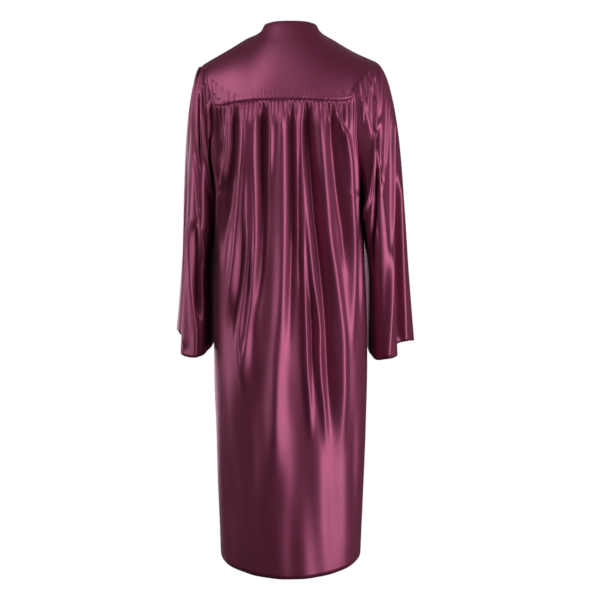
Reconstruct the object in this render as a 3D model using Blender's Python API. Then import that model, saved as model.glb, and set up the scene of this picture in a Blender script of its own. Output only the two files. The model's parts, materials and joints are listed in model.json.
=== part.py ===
"""A graduation gown, filled out as if worn, with its zip closed.

Frame: metres, +Z up. The wearer faces -Y, so the back of the gown is at +Y and the wearer's left at +X.
The origin is in the middle of the neck base at shoulder height, where a wearer's shoulders carry it.
"""
import math

import bpy
import numpy as np

# Driving sizes
WALL = 0.0015  # cloth, as a wall
GAP = 0.0003  # between pieces at a seam
SLEEVE_GAP = 0.0008  # out from the armhole seam, whose pieces meet at an angle
SHOULDER_GAP = 0.0008  # between the yokes along the shoulder, where the cloth turns over
CALM = 0.030  # from a side, armhole or zip edge, where the folds reach their full height
COLUMN_EASE = 0.22  # share of a panel beside its centre line whose columns hang straight past the armhole
COLUMN_POWER = 1.35  # how gently the other columns give way to it
GATHER_DEPTH = 0.080  # below a yoke's seam, where the folds reach their full height
FOLD_END = 0.22  # length over which a fold fades out
FOLD_END_POWER = 0.8  # how suddenly it does
SLEEVE_FOLD_START = 0.12  # share of a sleeve's length over which a fold rises
SLEEVE_FOLD_END = 0.30  # and over which it fades out
SLEEVE_ROW_POWER = 1.1  # draws a sleeve's rows a little towards the armhole
HEM_SIDE_Z = -1.212  # hem at the side seams
HEM_BACK_DROP = 0.038  # how far the hem hangs lower at the centre back
HEM_FRONT_DROP = 0.015
HEM_POWER = 1.4  # how far round the drops spread
FRONT_YOKE_Z = -0.165  # seam below the front yokes
UNDERARM_Z = -0.392
ZIP_TOP_Z = -0.114
ZIP_END_Z = -0.985
ZIP_SEAM_Z = -1.060  # below this height the fronts are sewn together
ZIP_HALF_OPENING = 0.0032  # from the centre front to the edge of a front
ARMHOLE_REACH = 0.11  # the armholes lie within this of the body's middle, behind and before
SLOPE_STEP = 0.002  # distance over which a surface's direction is measured

# Body sections: height, half widths to the wearer's left and right, depths behind and before, power of the oval
# Columns: z, left, right, back, front, power
BODY = (
    (-0.100, 0.206, 0.200, 0.104, 0.099, 2.9),
    (-0.160, 0.203, 0.197, 0.115, 0.108, 2.9),
    (-0.255, 0.196, 0.188, 0.121, 0.121, 2.8),
    (-0.392, 0.179, 0.171, 0.126, 0.131, 2.4),
    (-0.550, 0.178, 0.172, 0.133, 0.138, 2.3),
    (-0.770, 0.177, 0.178, 0.143, 0.144, 2.25),
    (-1.000, 0.169, 0.171, 0.150, 0.150, 2.2),
    (-1.260, 0.160, 0.160, 0.155, 0.152, 2.2),
)

# Armhole seam: height, and its distance behind (or before) the side line on the left, on the right and in front
# Columns: z, left_back, right_back, front
ARMHOLE = (
    (-0.140, 0.076, 0.096, 0.066),
    (-0.200, 0.072, 0.094, 0.078),
    (-0.255, 0.068, 0.091, 0.080),
    (-0.315, 0.057, 0.076, 0.066),
    (-0.355, 0.042, 0.054, 0.047),
    (-0.380, 0.022, 0.028, 0.025),
    (UNDERARM_Z, 0.000, 0.000, 0.000),
)

# Seam below the back yoke: share of the way from the centre back to the armhole (+ is left), and height
# Columns: share, z
BACK_SEAM = (
    (-1.00, -0.150),
    (-0.88, -0.166),
    (-0.70, -0.173),
    (-0.35, -0.175),
    (0.00, -0.173),
    (0.35, -0.176),
    (0.60, -0.181),
    (0.82, -0.185),
    (0.93, -0.180),
    (1.00, -0.166),
)

NECK_SHARE = 1 / 3  # of the way from the centre line to the shoulder tip, where the neckline meets the shoulder
SHARE_CLEAR = 0.003  # a column this close before that share lies on the shoulder

# Upper line of the back yoke, round the neck and out along the shoulder seams
# Columns: share, x, y, z
BACK_TOP = (
    (-1.00, -0.191, -0.004, -0.070),
    (-0.72, -0.141, -0.004, -0.047),
    (-0.52, -0.105, -0.003, -0.026),
    (-NECK_SHARE, -0.066, 0.000, 0.001),
    (-0.29, -0.061, 0.010, 0.009),
    (-0.20, -0.047, 0.034, 0.012),
    (0.00, 0.000, 0.052, 0.013),
    (0.20, 0.047, 0.034, 0.012),
    (0.29, 0.061, 0.010, 0.009),
    (NECK_SHARE, 0.066, 0.000, 0.001),
    (0.52, 0.105, -0.003, -0.022),
    (0.72, 0.141, -0.004, -0.044),
    (1.00, 0.193, -0.004, -0.074),
)

# Neckline of a front yoke, from its point to the shoulder seam
# Columns: share, x, y, z
FRONT_TOP = (
    (0.00, 0.000, -0.101, -0.112),
    (0.12, 0.023, -0.089, -0.082),
    (0.24, 0.047, -0.049, -0.036),
    (NECK_SHARE, 0.066, 0.000, 0.001),
)

# How a yoke rolls over from its upper line to its seam: shares of the way back and down of the curve's handle
# Columns: share, back, down, out
BACK_ROLL = (
    (-1.00, 0.62, 0.30, -0.012),
    (-0.70, 0.80, 0.14, 0.0),
    (-NECK_SHARE, 0.78, 0.26, 0.0),
    (0.00, 0.70, 0.38, 0.0),
    (NECK_SHARE, 0.78, 0.26, 0.0),
    (0.70, 0.82, 0.12, 0.0),
    (1.00, 0.80, 0.16, 0.010),
)
FRONT_ROLL = (
    (0.00, 0.50, 0.50, 0.0),
    (NECK_SHARE, 0.72, 0.24, 0.0),
    (0.70, 0.80, 0.16, 0.0),
    (1.00, 0.78, 0.20, 0.004),
)

# Largest folds of the back, seen from behind: place of the crest across the back at each of FOLD_LEVELS,
# half width, height (a valley is negative), and the height where it has faded out
FOLD_LEVELS = (-0.17, -0.40, -0.70, -1.00, -1.25)
# Columns: at_yoke, at_chest, at_waist, at_knee, at_hem, half, rise, ends
BACK_FOLDS = (
    (0.150, 0.150, 0.158, 0.150, 0.140, 0.011, 0.006, -0.62),
    (0.106, 0.121, 0.140, 0.140, 0.135, 0.012, 0.009, -0.78),
    (0.075, 0.090, 0.106, 0.104, 0.100, 0.014, 0.011, -0.92),
    (0.050, 0.064, 0.078, 0.080, 0.080, 0.012, -0.011, -0.80),
    (0.022, 0.017, 0.030, 0.042, 0.048, 0.017, 0.012, -1.22),
    (-0.004, 0.000, -0.006, -0.010, -0.010, 0.009, -0.006, -0.90),
    (-0.028, -0.026, -0.034, -0.052, -0.060, 0.012, 0.010, -1.10),
    (-0.046, -0.054, -0.076, -0.092, -0.095, 0.010, -0.012, -0.95),
    (-0.070, -0.084, -0.116, -0.118, -0.112, 0.017, 0.013, -1.22),
    (-0.098, -0.118, -0.136, -0.140, -0.140, 0.009, -0.010, -0.64),
    (-0.122, -0.138, -0.150, -0.148, -0.145, 0.010, 0.008, -0.76),
)

# Largest folds of a front, from the centre front outwards
LEFT_FOLDS = (
    (0.034, 0.038, 0.042, 0.046, 0.050, 0.013, 0.010, -1.16),
    (0.060, 0.064, 0.072, 0.076, 0.080, 0.011, -0.010, -0.88),
    (0.086, 0.094, 0.102, 0.106, 0.108, 0.014, 0.011, -1.02),
    (0.114, 0.122, 0.132, 0.134, 0.134, 0.010, -0.008, -0.66),
    (0.138, 0.146, 0.152, 0.152, 0.150, 0.011, 0.008, -0.80),
)
RIGHT_FOLDS = (
    (0.030, 0.036, 0.044, 0.050, 0.054, 0.012, 0.009, -1.02),
    (0.054, 0.060, 0.066, 0.072, 0.078, 0.011, -0.010, -0.96),
    (0.080, 0.088, 0.096, 0.100, 0.104, 0.015, 0.012, -1.18),
    (0.110, 0.118, 0.128, 0.132, 0.132, 0.010, -0.009, -0.72),
    (0.136, 0.142, 0.150, 0.150, 0.148, 0.011, 0.008, -0.84),
)

# Sleeves, by turns round the sleeve from the shoulder tip backwards: how the cloth leaves the armhole (out, back,
# up), the cuff's edge (out from the middle of the gown, back, height) and how it arrives there
# Columns: turn, out, back, up, cuff_out, cuff_back, cuff_z, arrive_out, arrive_up
SLEEVE_LEFT = (
    (0.00, 0.070, 0.000, -0.010, 0.268, -0.062, -0.698, -0.030, 0.320),
    (0.04, 0.066, 0.006, -0.016, 0.262, -0.036, -0.702, -0.026, 0.310),
    (0.08, 0.062, 0.014, -0.022, 0.248, -0.020, -0.722, -0.016, 0.290),
    (0.12, 0.056, 0.022, -0.028, 0.254, 0.002, -0.744, -0.016, 0.280),
    (0.17, 0.048, 0.026, -0.032, 0.250, 0.028, -0.752, -0.014, 0.270),
    (0.25, 0.038, 0.022, -0.035, 0.230, 0.054, -0.758, -0.012, 0.260),
    (0.36, 0.024, 0.008, -0.030, 0.203, 0.042, -0.754, -0.008, 0.220),
    (0.45, 0.012, 0.002, -0.022, 0.190, 0.000, -0.742, -0.004, 0.190),
    (0.52, 0.008, -0.002, -0.020, 0.182, -0.040, -0.730, 0.000, 0.180),
    (0.64, 0.018, -0.012, -0.030, 0.174, -0.106, -0.708, 0.002, 0.220),
    (0.76, 0.040, -0.030, -0.035, 0.222, -0.144, -0.690, -0.010, 0.260),
    (0.88, 0.056, -0.024, -0.028, 0.257, -0.112, -0.690, -0.022, 0.280),
)
SLEEVE_RIGHT = (
    (0.00, 0.070, 0.000, -0.008, 0.288, -0.058, -0.722, -0.024, 0.330),
    (0.04, 0.070, 0.006, -0.014, 0.274, -0.034, -0.722, -0.020, 0.310),
    (0.08, 0.068, 0.012, -0.022, 0.250, -0.022, -0.728, -0.010, 0.290),
    (0.12, 0.064, 0.018, -0.028, 0.240, -0.004, -0.742, -0.008, 0.280),
    (0.16, 0.062, 0.018, -0.032, 0.247, 0.016, -0.752, -0.012, 0.270),
    (0.21, 0.060, 0.016, -0.034, 0.240, 0.042, -0.758, -0.012, 0.270),
    (0.28, 0.050, 0.010, -0.035, 0.218, 0.056, -0.762, -0.010, 0.260),
    (0.36, 0.032, 0.006, -0.032, 0.197, 0.040, -0.764, -0.008, 0.220),
    (0.45, 0.014, 0.002, -0.022, 0.186, 0.002, -0.752, -0.004, 0.190),
    (0.52, 0.008, -0.002, -0.020, 0.180, -0.040, -0.738, 0.000, 0.180),
    (0.64, 0.018, -0.012, -0.030, 0.172, -0.106, -0.716, 0.002, 0.220),
    (0.76, 0.042, -0.030, -0.035, 0.226, -0.144, -0.702, -0.010, 0.260),
    (0.88, 0.058, -0.024, -0.028, 0.272, -0.114, -0.706, -0.024, 0.280),
)

# Largest folds of the sleeves: turn at the armhole and at the cuff, half width in turns, height, and the shares
# of the sleeve's length where the fold begins and ends
# Columns: at_armhole, at_cuff, half, rise, begins, ends
SLEEVE_LEFT_FOLDS = (
    (0.19, 0.18, 0.030, 0.006, 0.015, 1.30),
    (0.27, 0.28, 0.032, -0.006, 0.03, 0.80),
    (0.72, 0.74, 0.034, 0.007, 0.03, 1.20),
    (0.82, 0.83, 0.030, -0.008, 0.03, 0.95),
    (0.91, 0.92, 0.030, 0.005, 0.024, 1.20),
)
SLEEVE_RIGHT_FOLDS = (
    (0.20, 0.19, 0.036, 0.006, 0.015, 1.30),
    (0.30, 0.29, 0.032, -0.006, 0.036, 1.00),
    (0.72, 0.75, 0.034, 0.007, 0.03, 1.20),
    (0.81, 0.84, 0.030, -0.008, 0.03, 0.90),
    (0.91, 0.93, 0.030, 0.005, 0.024, 1.20),
)

# Zip
TAPE_WIDTH = 0.0100
TAPE_TOP_Z = -0.140
TAPE_THICK = 0.0008
CHAIN_HALF = 0.0026
CHAIN_THICK = 0.0014
SLIDER_Z = -0.124
SLIDER_WIDTH = 0.0090
SLIDER_HEIGHT = 0.0120
SLIDER_THICK = 0.0026
BRIDGE_WIDTH = 0.0020
BRIDGE_LENGTH = 0.0090
BRIDGE_THICK = 0.0010
BRIDGE_CLEAR = 0.0022  # height under the bridge
TAB_BAR_RADIUS = 0.0007
TAB_WIDTH = 0.0060
TAB_ARM = 0.0013  # width of each arm beside the bridge
TAB_ARM_LENGTH = 0.0065
TAB_LENGTH = 0.0280
TAB_THICK = 0.0012
TAB_OVERLAP = 0.0002  # of the tab's plate into its arms
FOOT_OVERLAP = 0.0004  # of the bridge's feet into the slider's body
CHAIN_TOP_DROP = 0.002  # of the chain below the top of the zip

# Steps of the cloth's facets
BACK_STEPS = 42  # of the back panel and the yoke above it, which share a seam
FRONT_STEPS = 19
YOKE_ROWS = 5
ARMHOLE_ROWS = 6  # from a yoke's seam to the underarm
SKIRT_ROWS = 7  # from the underarm to the hem
NECKLINE_STEPS = 5
SLEEVE_ROWS = 12

SATIN = ("burgundy_satin", (0.16, 0.020, 0.055), 0.32, 0.30)
TAPE = ("burgundy_tape", (0.10, 0.014, 0.036), 0.75, 0.0)
COIL = ("burgundy_coil", (0.11, 0.016, 0.040), 0.45, 0.0)
METAL = ("painted_metal", (0.13, 0.018, 0.045), 0.35, 0.6)


def clear_scene():
    for old in list(bpy.data.objects):
        bpy.data.objects.remove(old, do_unlink=True)


def material(look):
    name, colour, roughness, metallic = look
    made = bpy.data.materials.get(name)
    if made is None:
        made = bpy.data.materials.new(name)
        made.use_nodes = True
        shader = made.node_tree.nodes["Principled BSDF"]
        shader.inputs["Base Color"].default_value = (*colour, 1.0)
        shader.inputs["Roughness"].default_value = roughness
        shader.inputs["Metallic"].default_value = metallic
        made.diffuse_color = (*colour, 1.0)
    return made


def smooth(at, places, values):
    """A smooth curve through the values at the places, read at one place or at many."""
    places = np.asarray(places, float)
    values = np.asarray(values, float)
    slopes = np.gradient(values, places, axis=0)
    at = np.clip(np.asarray(at, float), places[0], places[-1])
    index = np.clip(np.searchsorted(places, at, side="right") - 1, 0, len(places) - 2)
    span = places[index + 1] - places[index]
    t = (at - places[index]) / span
    if values.ndim > 1:
        span = span[..., None]
        t = t[..., None]
    start = (2 * t**3 - 3 * t**2 + 1) * values[index] + (t**3 - 2 * t**2 + t) * span * slopes[index]
    end = (3 * t**2 - 2 * t**3) * values[index + 1] + (t**3 - t**2) * span * slopes[index + 1]
    return start + end


def rows(table):
    """First column and the other columns of a table, its first column rising."""
    data = np.array(sorted(table))
    return data[:, 0], data[:, 1:]


def body_size(z):
    """Half widths left and right, depths behind and before, and the oval's power at a height."""
    return smooth(z, *rows(BODY))


def oval(z, turns=361):
    """Points of the body's oval at a height, from centre front by the right and the back round to the left."""
    left, right, back, front, power = body_size(z)
    angle = np.linspace(-math.pi, math.pi, turns)
    across = np.sign(np.sin(angle)) * np.abs(np.sin(angle)) ** (2 / power)
    along = np.sign(np.cos(angle)) * np.abs(np.cos(angle)) ** (2 / power)
    x = np.where(across > 0, left, right) * across
    y = np.where(along > 0, back, front) * along
    girth = np.concatenate(([0.0], np.cumsum(np.hypot(np.diff(x), np.diff(y)))))
    girth -= girth[turns // 2]
    return x, y, girth


def on_oval(z, girth):
    """Points on the oval at distances round it from the centre back, and the outward direction there."""
    x, y, along = oval(z)
    step = SLOPE_STEP
    points = np.stack((np.interp(girth, along, x), np.interp(girth, along, y), np.full_like(girth, z)), axis=-1)
    ahead = np.stack((np.interp(girth + step, along, x), np.interp(girth + step, along, y)), axis=-1)
    behind = np.stack((np.interp(girth - step, along, x), np.interp(girth - step, along, y)), axis=-1)
    run = ahead - behind
    outward = np.stack((-run[..., 1], run[..., 0], np.zeros(len(girth))), axis=-1)
    outward /= np.linalg.norm(outward, axis=-1, keepdims=True)
    return points, outward


def side_girth(z, side):
    """Distance round from the centre back to the side seam; side is 1 for left and -1 for right."""
    x, _, along = oval(z)
    return along[np.argmax(x * side)]


def armhole_girth(z, side, behind):
    """Distance round from the centre back to the armhole seam, or to the side seam below the underarm."""
    if z <= UNDERARM_Z:
        return side_girth(z, side)
    left_back, right_back, front = smooth(z, *rows(ARMHOLE))
    depth = -front
    if behind:
        depth = left_back if side > 0 else right_back
    x, y, along = oval(z)
    keep = (x * side > 0) & (np.abs(y) < ARMHOLE_REACH)
    order = np.argsort(y[keep])
    return float(np.interp(depth, y[keep][order], along[keep][order]))


def column_girth(share, z, side, behind):
    """Distance round from the centre back to a panel's column; only its outer columns give way to the armhole."""
    ends = abs(oval(z)[2][-1 if side > 0 else 0])
    middle = 0.0 if behind else ends
    full = abs(abs(side_girth(z, side)) - middle)
    edge = abs(abs(armhole_girth(z, side, behind)) - middle) - GAP / 2
    start = 0.0 if behind else front_edge(z)
    outer = max(0.0, (share - COLUMN_EASE) / (1 - COLUMN_EASE))
    reach = start * (1 - share) + full * share - (full - edge) * outer**COLUMN_POWER
    return side * abs(middle - reach), reach, edge


def hem_z(share_of_turn):
    """Height of the hem; 0 at the centre back, 1 at the centre front."""
    back = HEM_BACK_DROP * max(0.0, math.cos(math.pi * share_of_turn)) ** HEM_POWER
    front = HEM_FRONT_DROP * max(0.0, -math.cos(math.pi * share_of_turn)) ** HEM_POWER
    return HEM_SIDE_Z - back - front


def fold_height(girth, z, below, folds, mirror):
    """Sum of the folds at distances round the body and at a height, which lies this far below the yoke's seam.

    The mirror is 0 on the back, 1 on the wearer's left front and -1 on the right front.
    """
    x, _, along = oval(z)
    total = np.zeros_like(girth)
    for at_yoke, at_chest, at_waist, at_knee, at_hem, width, rise, ends in folds:
        place = smooth(z, FOLD_LEVELS[::-1], (at_hem, at_knee, at_waist, at_chest, at_yoke))
        quarter = len(x) // 4
        if mirror == 0:
            middle = slice(quarter, len(x) - quarter)
        elif mirror > 0:
            middle = slice(len(x) - quarter - 1, len(x))
        else:
            middle = slice(0, quarter + 1)
        place = place * (mirror or 1)
        order = np.argsort(x[middle])
        centre = np.interp(place, x[middle][order], along[middle][order])
        fade_in = np.clip(below / GATHER_DEPTH, 0, 1)
        fade_out = np.clip((z - ends) / FOLD_END, 0, 1) ** FOLD_END_POWER
        total += rise * fade_in * fade_out * np.exp(-0.5 * ((girth - centre) / width) ** 2)
    return total


def wall(points, flat_edges=(), wrap=False, seam=None):
    """Outer and inner points of a wall on a grid of rows; at a flat edge the wall's rim lies in the seam's plane.

    A seam is a row and the directions in which the two pieces that meet there are both thick.
    """
    down = np.gradient(points, axis=0)
    if wrap:
        across = (np.roll(points, -1, axis=1) - np.roll(points, 1, axis=1)) / 2
    else:
        across = np.gradient(points, axis=1)
    normal = np.cross(down, across)
    normal /= np.linalg.norm(normal, axis=-1, keepdims=True)
    for edge, axis in flat_edges:
        strip = normal[edge]
        strip[..., axis] = 0.0
        normal[edge] = strip / np.linalg.norm(strip, axis=-1, keepdims=True)
    if seam is not None:
        normal[seam[0]] = seam[1]
    return points, points - WALL * normal


def cloth(name, outer, inner, look, group, wrap=False):
    """A closed piece of cloth between two grids of points, facing out on both."""
    count_rows, count_steps = outer.shape[:2]
    size = count_rows * count_steps
    vertices = np.concatenate((outer.reshape(-1, 3), inner.reshape(-1, 3)))
    last = count_steps if wrap else count_steps - 1

    def at(row, step):
        return row * count_steps + step % count_steps

    faces = []
    for row in range(count_rows - 1):
        for step in range(last):
            a, b = at(row, step), at(row, step + 1)
            c, d = at(row + 1, step + 1), at(row + 1, step)
            faces.append((a, d, c, b))
            faces.append((size + a, size + b, size + c, size + d))
    for step in range(last):
        a, b = at(0, step), at(0, step + 1)
        faces.append((a, b, size + b, size + a))
        a, b = at(count_rows - 1, step + 1), at(count_rows - 1, step)
        faces.append((a, b, size + b, size + a))
    if not wrap:
        for row in range(count_rows - 1):
            a, b = at(row + 1, 0), at(row, 0)
            faces.append((a, b, size + b, size + a))
            a, b = at(row, last), at(row + 1, last)
            faces.append((a, b, size + b, size + a))
    mesh = bpy.data.meshes.new(name)
    mesh.from_pydata(vertices.tolist(), [], faces)
    return add_piece(name, mesh, look, group)


def add_piece(name, mesh, look, group):
    piece = bpy.data.objects.new(name, mesh)
    mesh.name = name
    mesh.materials.clear()
    mesh.materials.append(material(look))
    group.objects.link(piece)
    return piece


def panel_heights(top, hem):
    """Heights of a panel's rows, closest together at the underarm, where the armhole runs level."""
    sweep = np.sin(np.linspace(0, math.pi / 2, ARMHOLE_ROWS + 1))
    upper = top + (UNDERARM_Z - top) * sweep
    lower = np.linspace(UNDERARM_Z, hem, SKIRT_ROWS + 1)[1:]
    return np.concatenate((upper, lower))


def seam_z(share):
    """Height of the seam below the back yoke."""
    places, heights = rows(BACK_SEAM)
    return float(smooth(share, places, heights[:, 0]))


def back_panel(group):
    shares = np.linspace(-1, 1, BACK_STEPS + 1)
    grid = np.zeros((ARMHOLE_ROWS + SKIRT_ROWS + 1, len(shares), 3))
    thick = np.zeros((len(shares), 3))
    for column, share in enumerate(shares):
        top = seam_z(share) - GAP
        hem = hem_z(0.5 * abs(share))
        side = 1 if share >= 0 else -1
        for row, z in enumerate(panel_heights(top, hem)):
            place, reach, edge = column_girth(abs(share), z, side, True)
            girth = np.array([place])
            point, outward = on_oval(z, girth)
            calm = np.clip((edge - reach) / CALM, 0, 1)
            lift = fold_height(girth, z, top - z, BACK_FOLDS, 0) * calm
            grid[row, column] = (point + outward * lift[:, None])[0]
            if row == 0:
                thick[column] = outward[0]
    sides = [((slice(None), 0), 1), ((slice(None), -1), 1)]
    outer, inner = wall(grid[:, ::-1], sides, seam=(0, thick[::-1]))
    return cloth("back_panel", outer, inner, SATIN, group)


def front_edge(z):
    """Distance of a front's edge from the centre front: beside the zip, and closed below it."""
    closed = np.clip((ZIP_END_Z - z) / (ZIP_END_Z - ZIP_SEAM_Z), 0, 1)
    return ZIP_HALF_OPENING + (GAP / 2 - ZIP_HALF_OPENING) * closed


def front_panel(name, side, folds, group):
    shares = np.linspace(0, 1, FRONT_STEPS + 1)
    grid = np.zeros((ARMHOLE_ROWS + SKIRT_ROWS + 1, len(shares), 3))
    for column, share in enumerate(shares):
        top = FRONT_YOKE_Z - GAP
        hem = hem_z(1 - 0.5 * share)
        for row, z in enumerate(panel_heights(top, hem)):
            place, reach, edge = column_girth(share, z, side, False)
            girth = np.array([place])
            point, outward = on_oval(z, girth)
            calm = np.clip((edge - reach) / CALM, 0, 1) * np.clip(reach / CALM, 0, 1)
            lift = fold_height(girth, z, top - z, folds, side) * calm
            grid[row, column] = (point + outward * lift[:, None])[0]
            if column == 0:
                grid[row, column, 0] = side * front_edge(z)
    if side < 0:
        grid = grid[:, ::-1]
    sides = [((slice(None), 0), 0 if side > 0 else 1), ((slice(None), -1), 1 if side > 0 else 0)]
    outer, inner = wall(grid, sides + [((0, slice(None)), 2)])
    return cloth(name, outer, inner, SATIN, group)


def rolled(top, foot, back, down, out, v):
    """A yoke's curve from its upper line to its seam, through one handle."""
    handle = np.array(
        (
            (top[0] + foot[0]) / 2 + out,
            top[1] + back * (foot[1] - top[1]),
            top[2] + down * (foot[2] - top[2]),
        )
    )
    return (1 - v) ** 2 * top + 2 * v * (1 - v) * handle + v**2 * foot


def back_yoke(group):
    shares = np.linspace(-1, 1, BACK_STEPS + 1)
    grid = np.zeros((YOKE_ROWS + 1, len(shares), 3))
    thick = np.zeros((len(shares), 3))
    for column, share in enumerate(shares):
        side = 1 if share >= 0 else -1
        z = seam_z(share)
        place = column_girth(abs(share), z, side, True)[0]
        points, outward = on_oval(z, np.array([place]))
        foot = points[0]
        thick[column] = outward[0]
        top = smooth(share, *rows(BACK_TOP))
        top[1] += SHOULDER_GAP / 2
        back, down, out = smooth(share, *rows(BACK_ROLL))
        for row in range(YOKE_ROWS + 1):
            grid[row, column] = rolled(top, foot, back, down, out, row / YOKE_ROWS)
    shoulder = np.abs(shares[::-1]) > NECK_SHARE - SHARE_CLEAR
    sides = [((slice(0, YOKE_ROWS), 0), 0), ((slice(0, YOKE_ROWS), -1), 0), ((0, shoulder), 1)]
    outer, inner = wall(grid[:, ::-1], sides, seam=(YOKE_ROWS, thick[::-1]))
    return cloth("back_yoke", outer, inner, SATIN, group)


def front_yoke(name, side, group):
    neck = np.linspace(0, NECK_SHARE, NECKLINE_STEPS + 1)[:-1]
    shoulder = np.linspace(0, 1, BACK_STEPS // 2 + 1)
    shares = np.concatenate((neck, shoulder[shoulder > NECK_SHARE - SHARE_CLEAR]))
    grid = np.zeros((YOKE_ROWS + 1, len(shares), 3))
    for column, share in enumerate(shares):
        place = column_girth(share, FRONT_YOKE_Z, side, False)[0]
        foot = on_oval(FRONT_YOKE_Z, np.array([place]))[0][0]
        if column < NECKLINE_STEPS:
            top = smooth(share, *rows(FRONT_TOP))
            top[0] = side * max(top[0], ZIP_HALF_OPENING)
        else:
            top = smooth(side * share, *rows(BACK_TOP))
        top[1] -= SHOULDER_GAP / 2
        back, down, out = smooth(share, *rows(FRONT_ROLL))
        for row in range(YOKE_ROWS + 1):
            grid[row, column] = rolled(top, foot, back, down, side * out, row / YOKE_ROWS)
    for point in grid[:, 0]:
        point[:] = front_line(point[2])[0]
        point[0] = side * ZIP_HALF_OPENING
    along_shoulder = shares > NECK_SHARE - SHARE_CLEAR
    centre_edge = 0
    if side < 0:
        grid = grid[:, ::-1]
        along_shoulder = along_shoulder[::-1]
        centre_edge = -1
    sides = [((0, along_shoulder), 1), ((YOKE_ROWS, slice(None)), 2), ((slice(None), centre_edge), 0)]
    outer, inner = wall(grid, sides)
    return cloth(name, outer, inner, SATIN, group)


def armhole_half(side, behind):
    """Points of the armhole seam from the shoulder tip to the underarm, behind or before, at the panels' rows."""
    seam = seam_z(side) if behind else FRONT_YOKE_Z
    top = smooth(side, *rows(BACK_TOP))
    back, down, out = smooth(side if behind else 1.0, *rows(BACK_ROLL if behind else FRONT_ROLL))
    if not behind:
        out = side * out
    foot = on_oval(seam, np.array([armhole_girth(seam, side, behind)]))[0][0]
    upper = [rolled(top, foot, back, down, out, row / YOKE_ROWS) for row in range(YOKE_ROWS)]
    lower = []
    for z in panel_heights(seam - GAP, HEM_SIDE_Z)[: ARMHOLE_ROWS + 1]:
        lower.append(on_oval(z, np.array([armhole_girth(z, side, behind)]))[0][0])
    return np.array(upper + lower)


def armhole_loop(side):
    """Turns and points of the whole armhole seam, from the shoulder tip backwards, down and up in front."""
    turns = []
    halves = []
    for behind in (True, False):
        half = armhole_half(side, behind)
        lengths = np.concatenate(([0.0], np.cumsum(np.linalg.norm(np.diff(half, axis=0), axis=1))))
        place = lengths / lengths[-1] / 2
        if behind:
            turns.append(place)
            halves.append(half)
        else:
            turns.append(1 - place[-2:0:-1])
            halves.append(half[-2:0:-1])
    return np.concatenate(turns), np.concatenate(halves)


def around(turns, table):
    """Values of a sleeve table at turns, smooth all round."""
    data = np.array(table)
    before = data.copy()
    before[:, 0] -= 1
    after = data.copy()
    after[:, 0] += 1
    whole = np.concatenate((before, data, after))
    return smooth(turns, whole[:, 0], whole[:, 1:])


def sleeve_fold_height(turns, v, folds):
    total = np.zeros_like(turns)
    for at_armhole, at_cuff, width, rise, begins, ends in folds:
        centre = at_armhole + (at_cuff - at_armhole) * v
        apart = np.abs(turns - centre)
        apart = np.minimum(apart, 1 - apart)
        fade = np.clip((v - begins) / SLEEVE_FOLD_START, 0, 1) * np.clip((ends - v) / SLEEVE_FOLD_END, 0, 1)
        total += rise * fade * np.exp(-0.5 * (apart / width) ** 2)
    return total


def sleeve(name, side, table, folds, group):
    turns, start = armhole_loop(side)
    data = around(turns, table)
    leave = np.stack((side * data[:, 0], data[:, 1], data[:, 2]), axis=-1)
    cuff = np.stack((side * data[:, 3], data[:, 4], data[:, 5]), axis=-1)
    arrive = np.stack((side * data[:, 6], np.zeros(len(turns)), data[:, 7]), axis=-1)
    first = start + np.array((side * SLEEVE_GAP, 0.0, 0.0))
    down = np.linspace(0, 1, SLEEVE_ROWS + 1) ** SLEEVE_ROW_POWER
    grid = np.zeros((len(down), len(turns), 3))
    for row, v in enumerate(down):
        grid[row] = (
            (1 - v) ** 3 * first
            + 3 * v * (1 - v) ** 2 * (first + leave)
            + 3 * v**2 * (1 - v) * (cuff + arrive)
            + v**3 * cuff
        )
    if side < 0:
        grid = grid[:, ::-1]
        turns = turns[::-1]
    smooth_outer, smooth_inner = wall(grid, wrap=True)
    outward = (smooth_outer - smooth_inner) / WALL
    lift = np.array([sleeve_fold_height(turns, v, folds) for v in down])
    armhole_edge = ((0, slice(None)), 0)
    outer, inner = wall(grid + outward * lift[..., None], [armhole_edge], wrap=True)
    return cloth(name, outer, inner, SATIN, group, wrap=True)


def front_line(z):
    """Point of the centre front at a height, and the outward direction there."""
    step = SLOPE_STEP
    depth = smooth(z, *rows(BODY))[3]
    slope = (smooth(z + step, *rows(BODY))[3] - smooth(z - step, *rows(BODY))[3]) / (2 * step)
    outward = np.array((0.0, -1.0, -slope)) / math.hypot(1.0, slope)
    return np.array((0.0, -depth, z)), outward


def zip_strip(name, left_x, right_x, top, offset, thickness, look, group):
    """A strip down the centre front between two distances across, its face set off from the cloth's face."""
    panel = panel_heights(FRONT_YOKE_Z - GAP, hem_z(1.0))
    yoke = np.linspace(top, FRONT_YOKE_Z, YOKE_ROWS)[:-1]
    heights = np.concatenate((yoke, panel[panel > ZIP_END_Z], [ZIP_END_Z]))
    outer = np.zeros((len(heights), 2, 3))
    inner = np.zeros((len(heights), 2, 3))
    for row, z in enumerate(heights):
        point, outward = front_line(z)
        for column, x in enumerate((left_x, right_x)):
            outer[row, column] = point + offset * outward + np.array((x, 0.0, 0.0))
            inner[row, column] = outer[row, column] - thickness * outward
    return cloth(name, outer, inner, look, group)


def box_mesh(size, centre):
    bpy.ops.mesh.primitive_cube_add(size=1.0, location=centre)
    box = bpy.context.object
    box.scale = size
    bpy.ops.object.transform_apply(location=False, rotation=False, scale=True)
    return box


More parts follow.
